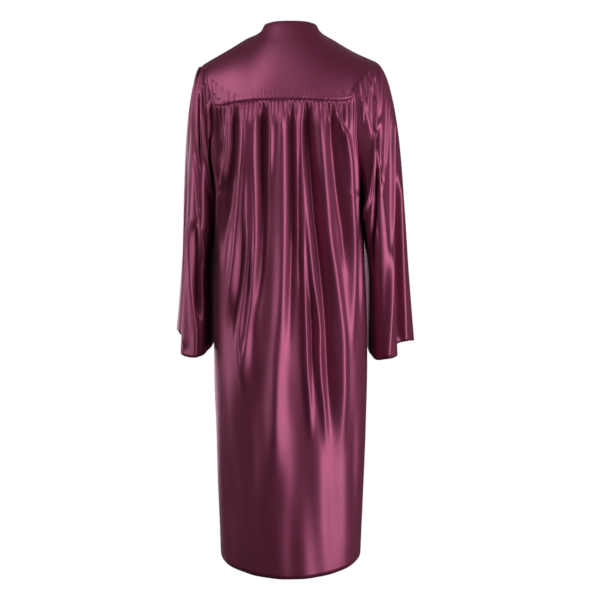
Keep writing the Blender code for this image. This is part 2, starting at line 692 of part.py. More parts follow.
def union(name, shapes, look, group, place, tilt):
    """Join primitive shapes into one solid, placed on the centre front and tilted with it."""
    base = shapes[0]
    for other in shapes[1:]:
        joined = base.modifiers.new("union", "BOOLEAN")
        joined.operation = "UNION"
        joined.object = other
        bpy.context.view_layer.objects.active = base
        bpy.ops.object.modifier_apply(modifier=joined.name)
        bpy.data.objects.remove(other, do_unlink=True)
    bpy.context.view_layer.objects.active = base
    bpy.ops.object.select_all(action="DESELECT")
    base.select_set(True)
    bpy.ops.object.transform_apply(location=True, rotation=True, scale=True)
    mesh = base.data
    bpy.data.objects.remove(base, do_unlink=True)
    piece = add_piece(name, mesh, look, group)
    piece.location = place
    piece.rotation_euler = (tilt, 0.0, 0.0)
    return piece


def slider_and_tab(group):
    """Slider on the chain with a bridge, and the tab whose bar turns under the bridge."""
    point, outward = front_line(SLIDER_Z)
    tilt = -math.atan2(outward[2], -outward[1])
    face = GAP + SLIDER_THICK
    body = box_mesh((SLIDER_WIDTH, SLIDER_THICK, SLIDER_HEIGHT), (0, -GAP - SLIDER_THICK / 2, 0))
    top = face + BRIDGE_CLEAR + BRIDGE_THICK / 2
    bridge = box_mesh((BRIDGE_WIDTH, BRIDGE_THICK, BRIDGE_LENGTH), (0, -top, 0))
    foot_depth = BRIDGE_CLEAR + BRIDGE_THICK + FOOT_OVERLAP
    feet = []
    for end in (-1, 1):
        foot_z = end * (BRIDGE_LENGTH - BRIDGE_THICK) / 2
        foot_y = -(face - FOOT_OVERLAP + foot_depth / 2)
        feet.append(box_mesh((BRIDGE_WIDTH, foot_depth, BRIDGE_THICK), (0, foot_y, foot_z)))
    union("zip_slider", [body, bridge] + feet, METAL, group, point, tilt)

    axis_depth = face + BRIDGE_CLEAR / 2
    turn = math.pi / 2
    bpy.ops.mesh.primitive_cylinder_add(vertices=16, radius=TAB_BAR_RADIUS, depth=TAB_WIDTH, rotation=(0, turn, 0))
    bar = bpy.context.object
    plate_length = TAB_LENGTH - TAB_ARM_LENGTH
    plate_z = -TAB_ARM_LENGTH - plate_length / 2 + TAB_OVERLAP
    plate = box_mesh((TAB_WIDTH, TAB_THICK, plate_length), (0, 0, plate_z))
    arms = []
    for end in (-1, 1):
        arm_x = end * (TAB_WIDTH - TAB_ARM) / 2
        arms.append(box_mesh((TAB_ARM, TAB_THICK, TAB_ARM_LENGTH), (arm_x, 0, -TAB_ARM_LENGTH / 2)))
    union("zip_pull_tab", [bar, plate] + arms, METAL, group, point + axis_depth * outward, tilt)


def main():
    clear_scene()
    group = bpy.data.collections.new("graduation_gown")
    bpy.context.scene.collection.children.link(group)
    back_yoke(group)
    front_yoke("front_yoke_left", 1, group)
    front_yoke("front_yoke_right", -1, group)
    back_panel(group)
    front_panel("front_panel_left", 1, LEFT_FOLDS, group)
    front_panel("front_panel_right", -1, RIGHT_FOLDS, group)
    sleeve("sleeve_left", 1, SLEEVE_LEFT, SLEEVE_LEFT_FOLDS, group)
    sleeve("sleeve_right", -1, SLEEVE_RIGHT, SLEEVE_RIGHT_FOLDS, group)
    tape_offset = -WALL - 2 * GAP
    zip_strip("zip_tape_left", GAP / 2, TAPE_WIDTH, TAPE_TOP_Z, tape_offset, TAPE_THICK, TAPE, group)
    zip_strip("zip_tape_right", -TAPE_WIDTH, -GAP / 2, TAPE_TOP_Z, tape_offset, TAPE_THICK, TAPE, group)
    zip_strip("zip_chain", -CHAIN_HALF, CHAIN_HALF, ZIP_TOP_Z - CHAIN_TOP_DROP, 0.0, CHAIN_THICK, COIL, group)
    slider_and_tab(group)


main()
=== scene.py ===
"""Looks of a shiny maroon graduation gown, worn shape kept, seen from behind.

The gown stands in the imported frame: metres, +Z up, the wearer faces -Y, the wearer's left is +X.
"""

import json
import math

import bpy
import numpy as np
from bpy.props import FloatProperty, IntProperty, PointerProperty
from bpy.types import Operator, Panel, PropertyGroup
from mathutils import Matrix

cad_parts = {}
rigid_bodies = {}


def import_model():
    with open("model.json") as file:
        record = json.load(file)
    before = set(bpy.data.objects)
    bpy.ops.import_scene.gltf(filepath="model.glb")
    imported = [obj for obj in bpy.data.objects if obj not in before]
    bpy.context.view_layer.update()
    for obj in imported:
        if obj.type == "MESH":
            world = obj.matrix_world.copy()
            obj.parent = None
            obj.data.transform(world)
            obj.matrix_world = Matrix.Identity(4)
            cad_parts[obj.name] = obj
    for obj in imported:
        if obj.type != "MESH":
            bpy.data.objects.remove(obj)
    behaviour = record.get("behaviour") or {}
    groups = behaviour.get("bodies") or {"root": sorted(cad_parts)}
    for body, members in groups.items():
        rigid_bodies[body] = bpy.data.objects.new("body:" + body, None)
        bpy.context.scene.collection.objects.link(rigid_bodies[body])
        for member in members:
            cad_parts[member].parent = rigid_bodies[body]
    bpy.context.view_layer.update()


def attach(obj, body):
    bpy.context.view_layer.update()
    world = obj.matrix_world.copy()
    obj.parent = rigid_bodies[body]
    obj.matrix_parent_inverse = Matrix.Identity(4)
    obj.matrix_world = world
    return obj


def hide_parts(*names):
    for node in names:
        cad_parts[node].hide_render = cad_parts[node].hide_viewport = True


bl_info = {
    "name": "Graduation gown",
    "version": (1, 0, 0),
    "blender": (4, 5, 0),
    "location": "View3D > Sidebar > Gown",
    "description": "Builds the cloth, stitches, zip and stage of a graduation gown round its packed frame",
    "category": "Object",
}

MM = 0.001
GAP = 0.0003  # between pieces at a seam
COLUMN_EASE = 0.22  # share of a panel beside its centre line whose columns hang straight past the armhole
COLUMN_POWER = 1.35  # how gently the other columns give way to it
HEM_SIDE_Z = -1.212
HEM_BACK_DROP = 0.038
HEM_FRONT_DROP = 0.015
FRONT_YOKE_Z = -0.165
UNDERARM_Z = -0.392
NECK_SHARE = 1 / 3
HEM_POWER = 1.4  # how far round the hem's drops spread
ARMHOLE_REACH = 0.11  # the armholes lie within this of the body's middle, behind and before
THREAD_LIFT = 0.0002  # of a stitch over the cloth
BAR_SIDES = 6  # of a stitch's or a zip tooth's bar
TURN_THICKER = 1.2  # how much a turned edge adds to the cloth's thickness
YOKE_ROWS = 90
FRONT_YOKE_ROWS = 56
SLEEVE_ROWS = 130
SLEEVE_COLUMNS = 330
PANEL_ROW_POWER = 1.3  # draws a panel's rows towards the yoke
SLEEVE_ROW_POWER = 1.1  # draws a sleeve's rows towards the armhole
SEAM_CALM = 0.016  # from a side or armhole seam, where the folds reach their full height
ZIP_CALM = 0.020  # and from the centre front
YOKE_BLUR = 14  # columns over which the corner below the neck's ends is softened
UNDERARM_BULGE = 0.007  # of a sleeve towards the body, just below the underarm
BULGE_Z = -0.44
BULGE_SPREAD = 0.06
SEAM_LAP = 0.0025  # of a front under the back at the side seam
LAP_DEPTH = 0.0012  # of the part that lies under
TUCK = 0.003  # how far a panel or sleeve goes in under its neighbour
ZIP_TOP_Z = -0.114
ZIP_END_Z = -0.985
ZIP_SEAM_Z = -1.060
ZIP_HALF_OPENING = 0.0032

# Body sections: height, half widths left and right, depths behind and before, power of the oval
BODY = (
    (-0.100, 0.206, 0.200, 0.104, 0.099, 2.9),
    (-0.160, 0.203, 0.197, 0.115, 0.108, 2.9),
    (-0.255, 0.196, 0.188, 0.121, 0.121, 2.8),
    (-0.392, 0.179, 0.171, 0.126, 0.131, 2.4),
    (-0.550, 0.178, 0.172, 0.133, 0.138, 2.3),
    (-0.770, 0.177, 0.178, 0.143, 0.144, 2.25),
    (-1.000, 0.169, 0.171, 0.150, 0.150, 2.2),
    (-1.260, 0.160, 0.160, 0.155, 0.152, 2.2),
)

# Armhole seam: height, and its distance behind (or before) the side line on the left, on the right and in front
ARMHOLE = (
    (-0.140, 0.076, 0.096, 0.066),
    (-0.200, 0.072, 0.094, 0.078),
    (-0.255, 0.068, 0.091, 0.080),
    (-0.315, 0.057, 0.076, 0.066),
    (-0.355, 0.042, 0.054, 0.047),
    (-0.380, 0.022, 0.028, 0.025),
    (UNDERARM_Z, 0.000, 0.000, 0.000),
)

# Seam below the back yoke: share of the way from the centre back to the armhole (+ is left), and height
BACK_SEAM = (
    (-1.00, -0.150),
    (-0.88, -0.166),
    (-0.70, -0.173),
    (-0.35, -0.175),
    (0.00, -0.173),
    (0.35, -0.176),
    (0.60, -0.181),
    (0.82, -0.185),
    (0.93, -0.180),
    (1.00, -0.166),
)

# Upper line of the back yoke, round the neck and out along the shoulder seams: share, x, y, z
BACK_TOP = (
    (-1.00, -0.191, -0.004, -0.070),
    (-0.72, -0.141, -0.004, -0.047),
    (-0.52, -0.105, -0.003, -0.026),
    (-NECK_SHARE, -0.066, 0.000, 0.001),
    (-0.29, -0.061, 0.010, 0.009),
    (-0.20, -0.047, 0.034, 0.012),
    (0.00, 0.000, 0.052, 0.013),
    (0.20, 0.047, 0.034, 0.012),
    (0.29, 0.061, 0.010, 0.009),
    (NECK_SHARE, 0.066, 0.000, 0.001),
    (0.52, 0.105, -0.003, -0.022),
    (0.72, 0.141, -0.004, -0.044),
    (1.00, 0.193, -0.004, -0.074),
)

# Neckline of a front yoke, from its point to the shoulder seam: share, x, y, z
FRONT_TOP = (
    (0.00, 0.000, -0.101, -0.112),
    (0.12, 0.023, -0.089, -0.082),
    (0.24, 0.047, -0.049, -0.036),
    (NECK_SHARE, 0.066, 0.000, 0.001),
)

# How a yoke rolls over from its upper line to its seam: share across,
# and the handle's shares back and down and its offset outwards
BACK_ROLL = (
    (-1.00, 0.62, 0.30, -0.012),
    (-0.70, 0.80, 0.14, 0.0),
    (-NECK_SHARE, 0.78, 0.26, 0.0),
    (0.00, 0.70, 0.38, 0.0),
    (NECK_SHARE, 0.78, 0.26, 0.0),
    (0.70, 0.82, 0.12, 0.0),
    (1.00, 0.80, 0.16, 0.010),
)
FRONT_ROLL = (
    (0.00, 0.50, 0.50, 0.0),
    (NECK_SHARE, 0.72, 0.24, 0.0),
    (0.70, 0.80, 0.16, 0.0),
    (1.00, 0.78, 0.20, 0.004),
)

# Sleeves, by turns round from the shoulder tip backwards: how the cloth leaves the armhole (out, back, up), the
# cuff's edge (out, back, height) and how it arrives there (out, up)
SLEEVE_LEFT = (
    (0.00, 0.070, 0.000, -0.010, 0.268, -0.062, -0.698, -0.030, 0.320),
    (0.04, 0.066, 0.006, -0.016, 0.262, -0.036, -0.702, -0.026, 0.310),
    (0.08, 0.062, 0.014, -0.022, 0.248, -0.020, -0.722, -0.016, 0.290),
    (0.12, 0.056, 0.022, -0.028, 0.254, 0.002, -0.744, -0.016, 0.280),
    (0.17, 0.048, 0.026, -0.032, 0.250, 0.028, -0.752, -0.014, 0.270),
    (0.25, 0.038, 0.022, -0.035, 0.230, 0.054, -0.758, -0.012, 0.260),
    (0.36, 0.024, 0.008, -0.030, 0.203, 0.042, -0.754, -0.008, 0.220),
    (0.45, 0.012, 0.002, -0.022, 0.190, 0.000, -0.742, -0.004, 0.190),
    (0.52, 0.008, -0.002, -0.020, 0.182, -0.040, -0.730, 0.000, 0.180),
    (0.64, 0.018, -0.012, -0.030, 0.174, -0.106, -0.708, 0.002, 0.220),
    (0.76, 0.040, -0.030, -0.035, 0.222, -0.144, -0.690, -0.010, 0.260),
    (0.88, 0.056, -0.024, -0.028, 0.257, -0.112, -0.690, -0.022, 0.280),
)
SLEEVE_RIGHT = (
    (0.00, 0.070, 0.000, -0.008, 0.288, -0.058, -0.722, -0.024, 0.330),
    (0.04, 0.070, 0.006, -0.014, 0.274, -0.034, -0.722, -0.020, 0.310),
    (0.08, 0.068, 0.012, -0.022, 0.250, -0.022, -0.728, -0.010, 0.290),
    (0.12, 0.064, 0.018, -0.028, 0.240, -0.004, -0.742, -0.008, 0.280),
    (0.16, 0.062, 0.018, -0.032, 0.247, 0.016, -0.752, -0.012, 0.270),
    (0.21, 0.060, 0.016, -0.034, 0.240, 0.042, -0.758, -0.012, 0.270),
    (0.28, 0.050, 0.010, -0.035, 0.218, 0.056, -0.762, -0.010, 0.260),
    (0.36, 0.032, 0.006, -0.032, 0.197, 0.040, -0.764, -0.008, 0.220),
    (0.45, 0.014, 0.002, -0.022, 0.186, 0.002, -0.752, -0.004, 0.190),
    (0.52, 0.008, -0.002, -0.020, 0.180, -0.040, -0.738, 0.000, 0.180),
    (0.64, 0.018, -0.012, -0.030, 0.172, -0.106, -0.716, 0.002, 0.220),
    (0.76, 0.042, -0.030, -0.035, 0.226, -0.144, -0.702, -0.010, 0.260),
    (0.88, 0.058, -0.024, -0.028, 0.272, -0.114, -0.706, -0.024, 0.280),
)

# Folds: the crest's path as (across, height) in mm, its half width, its rise (a valley is negative)
# and the lengths over which it grows from its upper end and dies out towards its lower end
BACK_FOLDS = (
    # the swag at the left armhole: two arms that meet in one stem
    (((190, -160), (180, -240), (171, -300), (162, -350), (157, -385), (162, -450), (168, -540)), 5, 11, 70, 150),
    (((142, -165), (136, -235), (139, -290), (148, -335), (156, -380)), 5, 11, 70, 40),
    (((165, -165), (160, -250), (152, -330)), 9, -9, 70, 50),
    (((126, -165), (124, -300), (138, -400), (149, -470), (154, -620)), 10, -10, 70, 200),
    # left of the middle
    (((104, -165), (106, -280), (112, -380), (121, -470), (124, -560), (134, -620), (142, -700)), 7, 12, 70, 120),
    (((93, -165), (95, -300), (92, -420), (94, -510), (105, -590), (112, -650), (110, -760),
      (103, -850)), 6, 8, 70, 100),
    (((80, -165), (84, -300), (76, -400), (71, -510), (82, -580), (95, -650), (98, -720),
      (101, -830)), 7, 12, 70, 110),
    (((98, -420), (104, -540), (120, -640), (124, -740)), 6, -8, 120, 100),
    (((84, -480), (92, -620), (104, -700), (107, -790)), 5, -8, 120, 80),
    (((62, -165), (58, -240), (62, -400), (65, -510), (72, -610), (74, -700)), 7, -15, 70, 200),
    (((48, -165), (43, -240), (46, -330), (50, -430)), 5, 8, 70, 140),
    # the broad fold beside the middle and the thin ones right of it
    (((22, -165), (19, -300), (16, -380), (14, -480), (15, -560), (20, -640), (27, -720), (31, -820), (36, -960),
      (41, -1100)), 13, 15, 70, 200),
    (((0, -165), (-1, -300), (-4, -420), (-2, -520), (2, -640), (5, -780)), 6, -12, 70, 240),
    (((-14, -165), (-16, -300), (-15, -440), (-17, -540)), 4.5, 9, 70, 90),
    (((-25, -165), (-24, -320), (-29, -520), (-33, -620), (-33, -680), (-37, -790), (-44, -870), (-48, -960)),
     5, 10, 70, 150),
    (((-20, -165), (-20, -330), (-22, -520), (-24, -660)), 3, -6, 70, 140),
    (((-32, -260), (-43, -500), (-52, -600), (-64, -660), (-68, -700), (-62, -730), (-66, -800), (-75, -870),
      (-84, -990)), 6, 10, 120, 160),
    (((-46, -580), (-50, -680), (-48, -740), (-54, -840)), 5, -8, 80, 100),
    (((-38, -165), (-36, -240), (-44, -330), (-57, -440), (-66, -520), (-76, -600), (-84, -700), (-88, -790),
      (-91, -940)), 8, -17, 70, 180),
    (((-60, -165), (-65, -260), (-77, -380), (-88, -500), (-97, -560), (-106, -630), (-118, -700), (-115, -810),
      (-117, -880), (-114, -1000)), 10, 15, 70, 200),
    (((-88, -165), (-98, -320), (-117, -420), (-127, -480), (-126, -570)), 8, -12, 70, 80),
    (((-98, -165), (-107, -215), (-124, -258), (-136, -400), (-141, -520), (-141, -640),
      (-138, -780)), 8, 12, 70, 220),
    (((-106, -165), (-118, -215), (-128, -256)), 5, -9, 70, 25),
    (((-146, -165), (-144, -280), (-150, -380), (-156, -500)), 5, 8, 70, 140),
    (((-160, -420), (-163, -560), (-158, -700)), 6, -6, 80, 120),
    # the lower third
    (((124, -720), (130, -820), (134, -960), (128, -1140)), 18, 5, 160, 200),
    (((75, -740), (82, -880), (86, -1020), (84, -1180)), 18, -7, 120, 220),
    (((-10, -780), (-18, -900), (-18, -1040), (-12, -1200)), 20, -7, 160, 220),
    (((-145, -820), (-148, -960), (-144, -1180)), 12, -4, 160, 200),
)

# Small gathers below the back yoke: where each leaves the seam (mm across), its half width, rise and length
BACK_GATHERS = (
    (183, 2.6, 5.85, 100), (172, 2.4, 5.2, 62), (160, 2.3, 5.85, 75),
    (150, 2.5, 6.5, 119), (139, 2.3, 5.2, 62),
    (131, 2.4, 6.5, 106), (121, 2.2, 5.85, 52), (112, 2.4, 5.85, 88),
    (103, 2.3, 6.5, 112), (95, 2.2, 5.2, 58),
    (86, 2.4, 5.85, 75), (76, 2.4, 6.5, 112), (66, 2.3, 5.2, 60),
    (57, 2.3, 5.85, 72), (46, 2.4, 6.5, 100), (37, 2.3, 5.85, 88),
    (29, 2.2, 5.85, 52), (19, 2.5, 6.5, 112), (9, 2.4, 6.5, 138),
    (0, 2.2, 5.2, 62), (-9, 2.4, 6.5, 94), (-19, 2.3, 5.85, 75),
    (-30, 2.4, 6.5, 88), (-41, 2.2, 5.85, 58), (-51, 2.4, 6.5, 112),
    (-61, 2.3, 5.2, 62), (-70, 2.4, 5.85, 88),
    (-80, 2.4, 6.5, 119), (-90, 2.2, 5.85, 58), (-101, 2.4, 5.85, 94),
    (-113, 2.3, 5.85, 62), (-124, 2.4, 6.5, 100),
    (-135, 2.4, 5.85, 75), (-145, 2.3, 5.2, 62), (-156, 2.4, 5.85, 88),
)

LEFT_FRONT_FOLDS = (
    (((34, -175), (38, -400), (42, -700), (48, -1000), (50, -1180)), 9, 9, 25, 200),
    (((48, -175), (52, -300), (54, -480), (58, -640)), 6, 6, 20, 160),
    (((60, -175), (66, -400), (72, -700), (78, -900)), 8, -10, 30, 200),
    (((86, -175), (92, -380), (104, -700), (107, -1020)), 10, 11, 30, 220),
    (((112, -175), (124, -420), (132, -660)), 8, -8, 30, 160),
    (((132, -175), (144, -400), (152, -620), (154, -860)), 8, 8, 30, 200),
    (((76, -560), (84, -700), (92, -860), (92, -980)), 6, -6, 100, 140),
)
RIGHT_FRONT_FOLDS = (
    (((-30, -175), (-36, -400), (-44, -700), (-52, -1020)), 8, 9, 25, 220),
    (((-54, -175), (-62, -420), (-66, -700), (-74, -960)), 8, -10, 30, 200),
    (((-72, -175), (-78, -330), (-84, -500)), 6, 7, 20, 140),
    (((-90, -175), (-96, -400), (-98, -700), (-104, -1120)), 11, 11, 30, 240),
    (((-112, -175), (-122, -420), (-130, -720)), 8, -9, 30, 180),
    (((-134, -175), (-142, -400), (-150, -700), (-150, -880)), 8, 8, 30, 200),
    (((-70, -620), (-80, -760), (-84, -920)), 6, 5, 100, 140),
)
FRONT_GATHERS = (
    (24, 2.6, 3.0, 30), (42, 2.8, 3.5, 48), (57, 2.6, 3.5, 30), (70, 3.0, 4.0, 56), (79, 2.5, 3.0, 24),
    (98, 3.0, 4.0, 44), (106, 2.6, 3.0, 26), (122, 3.0, 4.0, 60), (143, 2.8, 3.5, 34), (152, 3.0, 4.0, 52),
)

# Sleeve folds seen from behind, as on the back: path, half width, rise, growing and dying lengths
SLEEVE_LEFT_FOLDS = (
    (((205, -85), (214, -130), (221, -185), (220, -245), (216, -320), (213, -385), (208, -470)), 4.5, 9, 8, 90),
    (((198, -95), (201, -150), (199, -250), (194, -310), (187, -370), (177, -460)), 4.5, 9, 8, 70),
    (((197, -130), (192, -190), (190, -260), (186, -320)), 4.2, 7, 8, 80),
    (((210, -150), (209, -250), (204, -340)), 5, -15, 20, 80),
    (((226, -110), (232, -170), (234, -250), (237, -420)), 6, 7, 20, 200),
    (((229, -430), (229, -510), (227, -590), (220, -650), (215, -700), (219, -765)), 4.5, 9, 60, 8),
    (((211, -440), (205, -500), (197, -570)), 4.2, 6, 60, 60),
    (((218, -440), (213, -560), (206, -690)), 8, -19, 60, 60),
    (((240, -430), (242, -560), (243, -740)), 7, 6, 60, 20),
    (((190, -400), (189, -520), (190, -660)), 6, -11, 60, 60),
)
SLEEVE_RIGHT_FOLDS = (
    (((-197, -80), (-206, -110), (-208, -170), (-202, -250)), 9, 7, 10, 80),
    (((-186, -90), (-190, -110), (-198, -135)), 4.2, 5, 4, 25),
    (((-179, -102), (-184, -125), (-190, -160)), 4.2, 6, 4, 35),
    (((-170, -113), (-174, -150), (-176, -210)), 4.2, 6, 4, 50),
    (((-160, -126), (-163, -170), (-166, -240)), 4.2, 6, 4, 60),
    (((-192, -150), (-187, -260), (-189, -330), (-184, -390), (-177, -470), (-166, -560)), 5, 10, 30, 80),
    (((-205, -200), (-201, -320), (-194, -400), (-190, -470), (-184, -560), (-182, -700)), 8, -19, 60, 80),
    (((-226, -150), (-224, -230), (-214, -320), (-208, -400)), 5, 8, 30, 80),
    (((-236, -190), (-232, -290), (-235, -370), (-231, -470), (-228, -570), (-230, -650),
      (-222, -765)), 6, 11, 40, 8),
    (((-245, -320), (-246, -440), (-247, -560), (-247, -720)), 6, -11, 60, 20),
    (((-251, -330), (-257, -450), (-261, -560), (-267, -660), (-268, -730)), 6, 8, 60, 8),
)


# Puckers of the back yoke, at the left end of its seam
YOKE_PUCKERS = (
    (((178, -120), (176, -140), (172, -160)), 2.6, 1.6, 12, 4),
    (((168, -128), (167, -150), (163, -172)), 2.6, 1.8, 14, 4),
    (((155, -138), (154, -158), (151, -180)), 2.8, 1.8, 14, 4),
    (((141, -146), (142, -160), (141, -182)), 2.6, 1.6, 12, 4),
    (((128, -152), (129, -165), (129, -182)), 2.4, 1.2, 10, 4),
    (((-120, -152), (-122, -162), (-124, -172)), 2.4, 1.0, 10, 4),
)

# Folds in front of the sleeves, which hang as those behind do
SLEEVE_FRONT_FOLDS = (
    (((206, -100), (214, -200), (218, -330), (222, -480), (226, -690)), 6, 8, 20, 20),
    (((214, -150), (226, -300), (236, -460), (244, -690)), 6, -8, 40, 20),
    (((196, -130), (200, -240), (204, -360), (206, -520)), 5, 7, 10, 140),
    (((232, -180), (240, -320), (250, -500), (258, -690)), 6, 7, 40, 20),
    (((190, -300), (192, -420), (196, -600)), 6, -6, 60, 80),
)


def clear_scene():
    for old in list(bpy.data.objects):
        bpy.data.objects.remove(old, do_unlink=True)


def ease(t):
    """0 to 1 with a level start and finish."""
    t = np.clip(t, 0, 1)
    return t * t * (3 - 2 * t)


def smooth(at, places, values):
    """A smooth curve through the values at the places, read at one place or at many."""
    places = np.asarray(places, float)
    values = np.asarray(values, float)
    slopes = np.gradient(values, places, axis=0)
    at = np.clip(np.asarray(at, float), places[0], places[-1])
    index = np.clip(np.searchsorted(places, at, side="right") - 1, 0, len(places) - 2)
    span = places[index + 1] - places[index]
    t = (at - places[index]) / span
    if values.ndim > 1:
        span = span[..., None]
        t = t[..., None]
    start = (2 * t**3 - 3 * t**2 + 1) * values[index] + (t**3 - 2 * t**2 + t) * span * slopes[index]
    end = (3 * t**2 - 2 * t**3) * values[index + 1] + (t**3 - t**2) * span * slopes[index + 1]
    return start + end


def table(rows):
    """First column and the other columns of a table, its first column rising."""
    data = np.array(sorted(rows))
    return data[:, 0], data[:, 1:]


class Form:
    """The body's outer form, as ovals at many heights, each read by its distance round from the centre back."""

    def __init__(self):
        self.z = np.linspace(-1.28, -0.09, 300)
        self.shares = np.linspace(-1, 1, 1201)
        angle = np.linspace(-math.pi, math.pi, 3601)
        sine = np.sin(angle)
        cosine = np.cos(angle)
        count = len(self.z)
        self.x = np.zeros((count, len(self.shares)))
        self.y = np.zeros_like(self.x)
        self.total = {1: np.zeros(count), -1: np.zeros(count)}
        self.side = {1: np.zeros(count), -1: np.zeros(count)}
        self.armhole = {(s, b): np.zeros(count) for s in (1, -1) for b in (True, False)}
        sizes = smooth(self.z, *table(BODY))
        seams = smooth(self.z, *table(ARMHOLE))
        for row, (left, right, back, front, power) in enumerate(sizes):
            across = np.sign(sine) * np.abs(sine) ** (2 / power)
            along = np.sign(cosine) * np.abs(cosine) ** (2 / power)
            x = np.where(across > 0, left, right) * across
            y = np.where(along > 0, back, front) * along
            girth = np.concatenate(([0.0], np.cumsum(np.hypot(np.diff(x), np.diff(y)))))
            girth -= girth[len(girth) // 2]
            self.total[1][row] = girth[-1]
            self.total[-1][row] = -girth[0]
            reach = np.where(self.shares > 0, girth[-1], -girth[0]) * self.shares
            self.x[row] = np.interp(reach, girth, x)
            self.y[row] = np.interp(reach, girth, y)
            for side in (1, -1):
                self.side[side][row] = abs(girth[np.argmax(x * side)])
                keep = (x * side > 0) & (np.abs(y) < ARMHOLE_REACH)
                order = np.argsort(y[keep])
                for behind in (True, False):
                    depth = -seams[row][2]
                    if behind:
                        depth = seams[row][0 if side > 0 else 1]
                    if self.z[row] <= UNDERARM_Z:
                        depth = 0.0
                    self.armhole[side, behind][row] = abs(np.interp(depth, y[keep][order], girth[keep][order]))

    def point(self, girth, z):
        """Points on the body at distances round it and at heights."""
        girth = np.asarray(girth, float)
        z = np.asarray(z, float) + 0 * girth
        total = np.where(girth > 0, np.interp(z, self.z, self.total[1]), np.interp(z, self.z, self.total[-1]))
        share = (np.clip(girth / total, -1, 1) + 1) / 2 * (len(self.shares) - 1)
        level = np.clip((z - self.z[0]) / (self.z[1] - self.z[0]), 0, len(self.z) - 1.001)
        column = np.minimum(share.astype(int), len(self.shares) - 2)
        row = level.astype(int)
        s = share - column
        t = level - row
        made = []
        for values in (self.x, self.y):
            low = values[row, column] * (1 - s) + values[row, column + 1] * s
            high = values[row + 1, column] * (1 - s) + values[row + 1, column + 1] * s
            made.append(low * (1 - t) + high * t)
        return np.stack((*made, z), axis=-1)

    def outward(self, girth, z):
        step = 0.003
        run = self.point(girth + step, z) - self.point(girth - step, z)
        normal = np.stack((-run[..., 1], run[..., 0], 0 * run[..., 2]), axis=-1)
        return normal / np.linalg.norm(normal, axis=-1, keepdims=True)

    def column(self, share, z, side, behind):
        """Distance round to a panel's column, and how far it and the outer edge reach from the middle."""
        total = np.interp(z, self.z, self.total[side])
        middle = 0.0 if behind else total
        full = np.abs(np.interp(z, self.z, self.side[side]) - middle)
        edge = np.abs(np.interp(z, self.z, self.armhole[side, behind]) - middle) - GAP / 2
        start = 0.0 if behind else front_edge(z)
        outer = np.maximum(0.0, (share - COLUMN_EASE) / (1 - COLUMN_EASE))
        reach = start * (1 - share) + full * share - (full - edge) * outer**COLUMN_POWER
        return side * np.abs(middle - reach), reach, edge


FORM = Form()
LINES = {"hem": [], "neck": [], "zip": []}  # where the cloth's stitches run, filled in as its pieces are made


def front_edge(z):
    """Distance of a front's edge from the centre front: beside the zip, and closed below it."""
    closed = np.clip((ZIP_END_Z - z) / (ZIP_END_Z - ZIP_SEAM_Z), 0, 1)
    return ZIP_HALF_OPENING + (GAP / 2 - ZIP_HALF_OPENING) * closed


def hem_z(share_of_turn):
    """Height of the hem; 0 at the centre back, 1 at the centre front."""
    turn = np.cos(math.pi * share_of_turn)
    back = HEM_BACK_DROP * np.maximum(0, turn) ** HEM_POWER
    front = HEM_FRONT_DROP * np.maximum(0, -turn) ** HEM_POWER
    return HEM_SIDE_Z - back - front


def crest(distance, half):
    """A fold's section: round on top, with a long foot."""
    return np.exp(-0.5 * (distance / half) ** 2)


def fold_lift(grid, folds, facing=None, wrap=False, mirror=1):
    """Height of all the folds at a grid's points; each is measured across the cloth from its softened path."""
    if wrap:
        across = (np.roll(grid, -1, axis=1) - np.roll(grid, 1, axis=1)) / 2
    else:
        across = np.gradient(grid, axis=1)
    slant = np.clip(np.linalg.norm(across, axis=-1) / np.maximum(np.abs(across[..., 0]), 1e-9), 1, 4)
    x, z = mirror * grid[..., 0], grid[..., 2]
    total = np.zeros_like(x)
    for path, half, rise, grow, die in folds:
        points = np.array(sorted(path, key=lambda p: p[1])) * MM
        points[1:-1, 0] = (points[:-2, 0] + 2 * points[1:-1, 0] + points[2:, 0]) / 4
        centre = smooth(z, points[:, 1], points[:, 0])
        fade = ease((points[-1, 1] - z) / (grow * MM)) * ease((z - points[0, 1]) / (die * MM))
        total += rise * MM * fade * crest((x - centre) * slant, half * MM)
    if facing is not None:
        total *= facing
    return total


def gather_lift(grid, below, gathers, mirror=1):
    """Height of the small gathers that run down from a yoke's seam."""
    x = mirror * grid[..., 0]
    across = np.gradient(grid, axis=1)
    slant = np.clip(np.linalg.norm(across, axis=-1) / np.maximum(np.abs(across[..., 0]), 1e-9), 1, 4)
    total = np.zeros_like(x)
    for at, half, rise, length in gathers:
        spread = 1 + np.maximum(below, 0) / (110 * MM)
        fade = np.exp(-((below / (length * MM)) ** 2))
        total += rise * MM * fade * crest((x - at * MM) * slant, half * MM * spread)
    return total


def unevenness(across, down, seed, amount, wide, long):
    """Small smooth lumps, longer down the cloth than across it."""
    rng = np.random.default_rng(seed)
    total = np.zeros_like(across)
    for _ in range(14):
        a = rng.uniform(0.6, 1.6) * 2 * math.pi / wide
        b = rng.uniform(-1.4, 1.4) * 2 * math.pi / long
        total += np.sin(a * across + b * down + rng.uniform(0, 2 * math.pi))
    return amount * total / 3.0


def normals(grid, wrap=False):
    down = np.gradient(grid, axis=0)
    if wrap:
        across = (np.roll(grid, -1, axis=1) - np.roll(grid, 1, axis=1)) / 2
    else:
        across = np.gradient(grid, axis=1)
    normal = np.cross(down, across)
    return normal / np.maximum(np.linalg.norm(normal, axis=-1, keepdims=True), 1e-9)


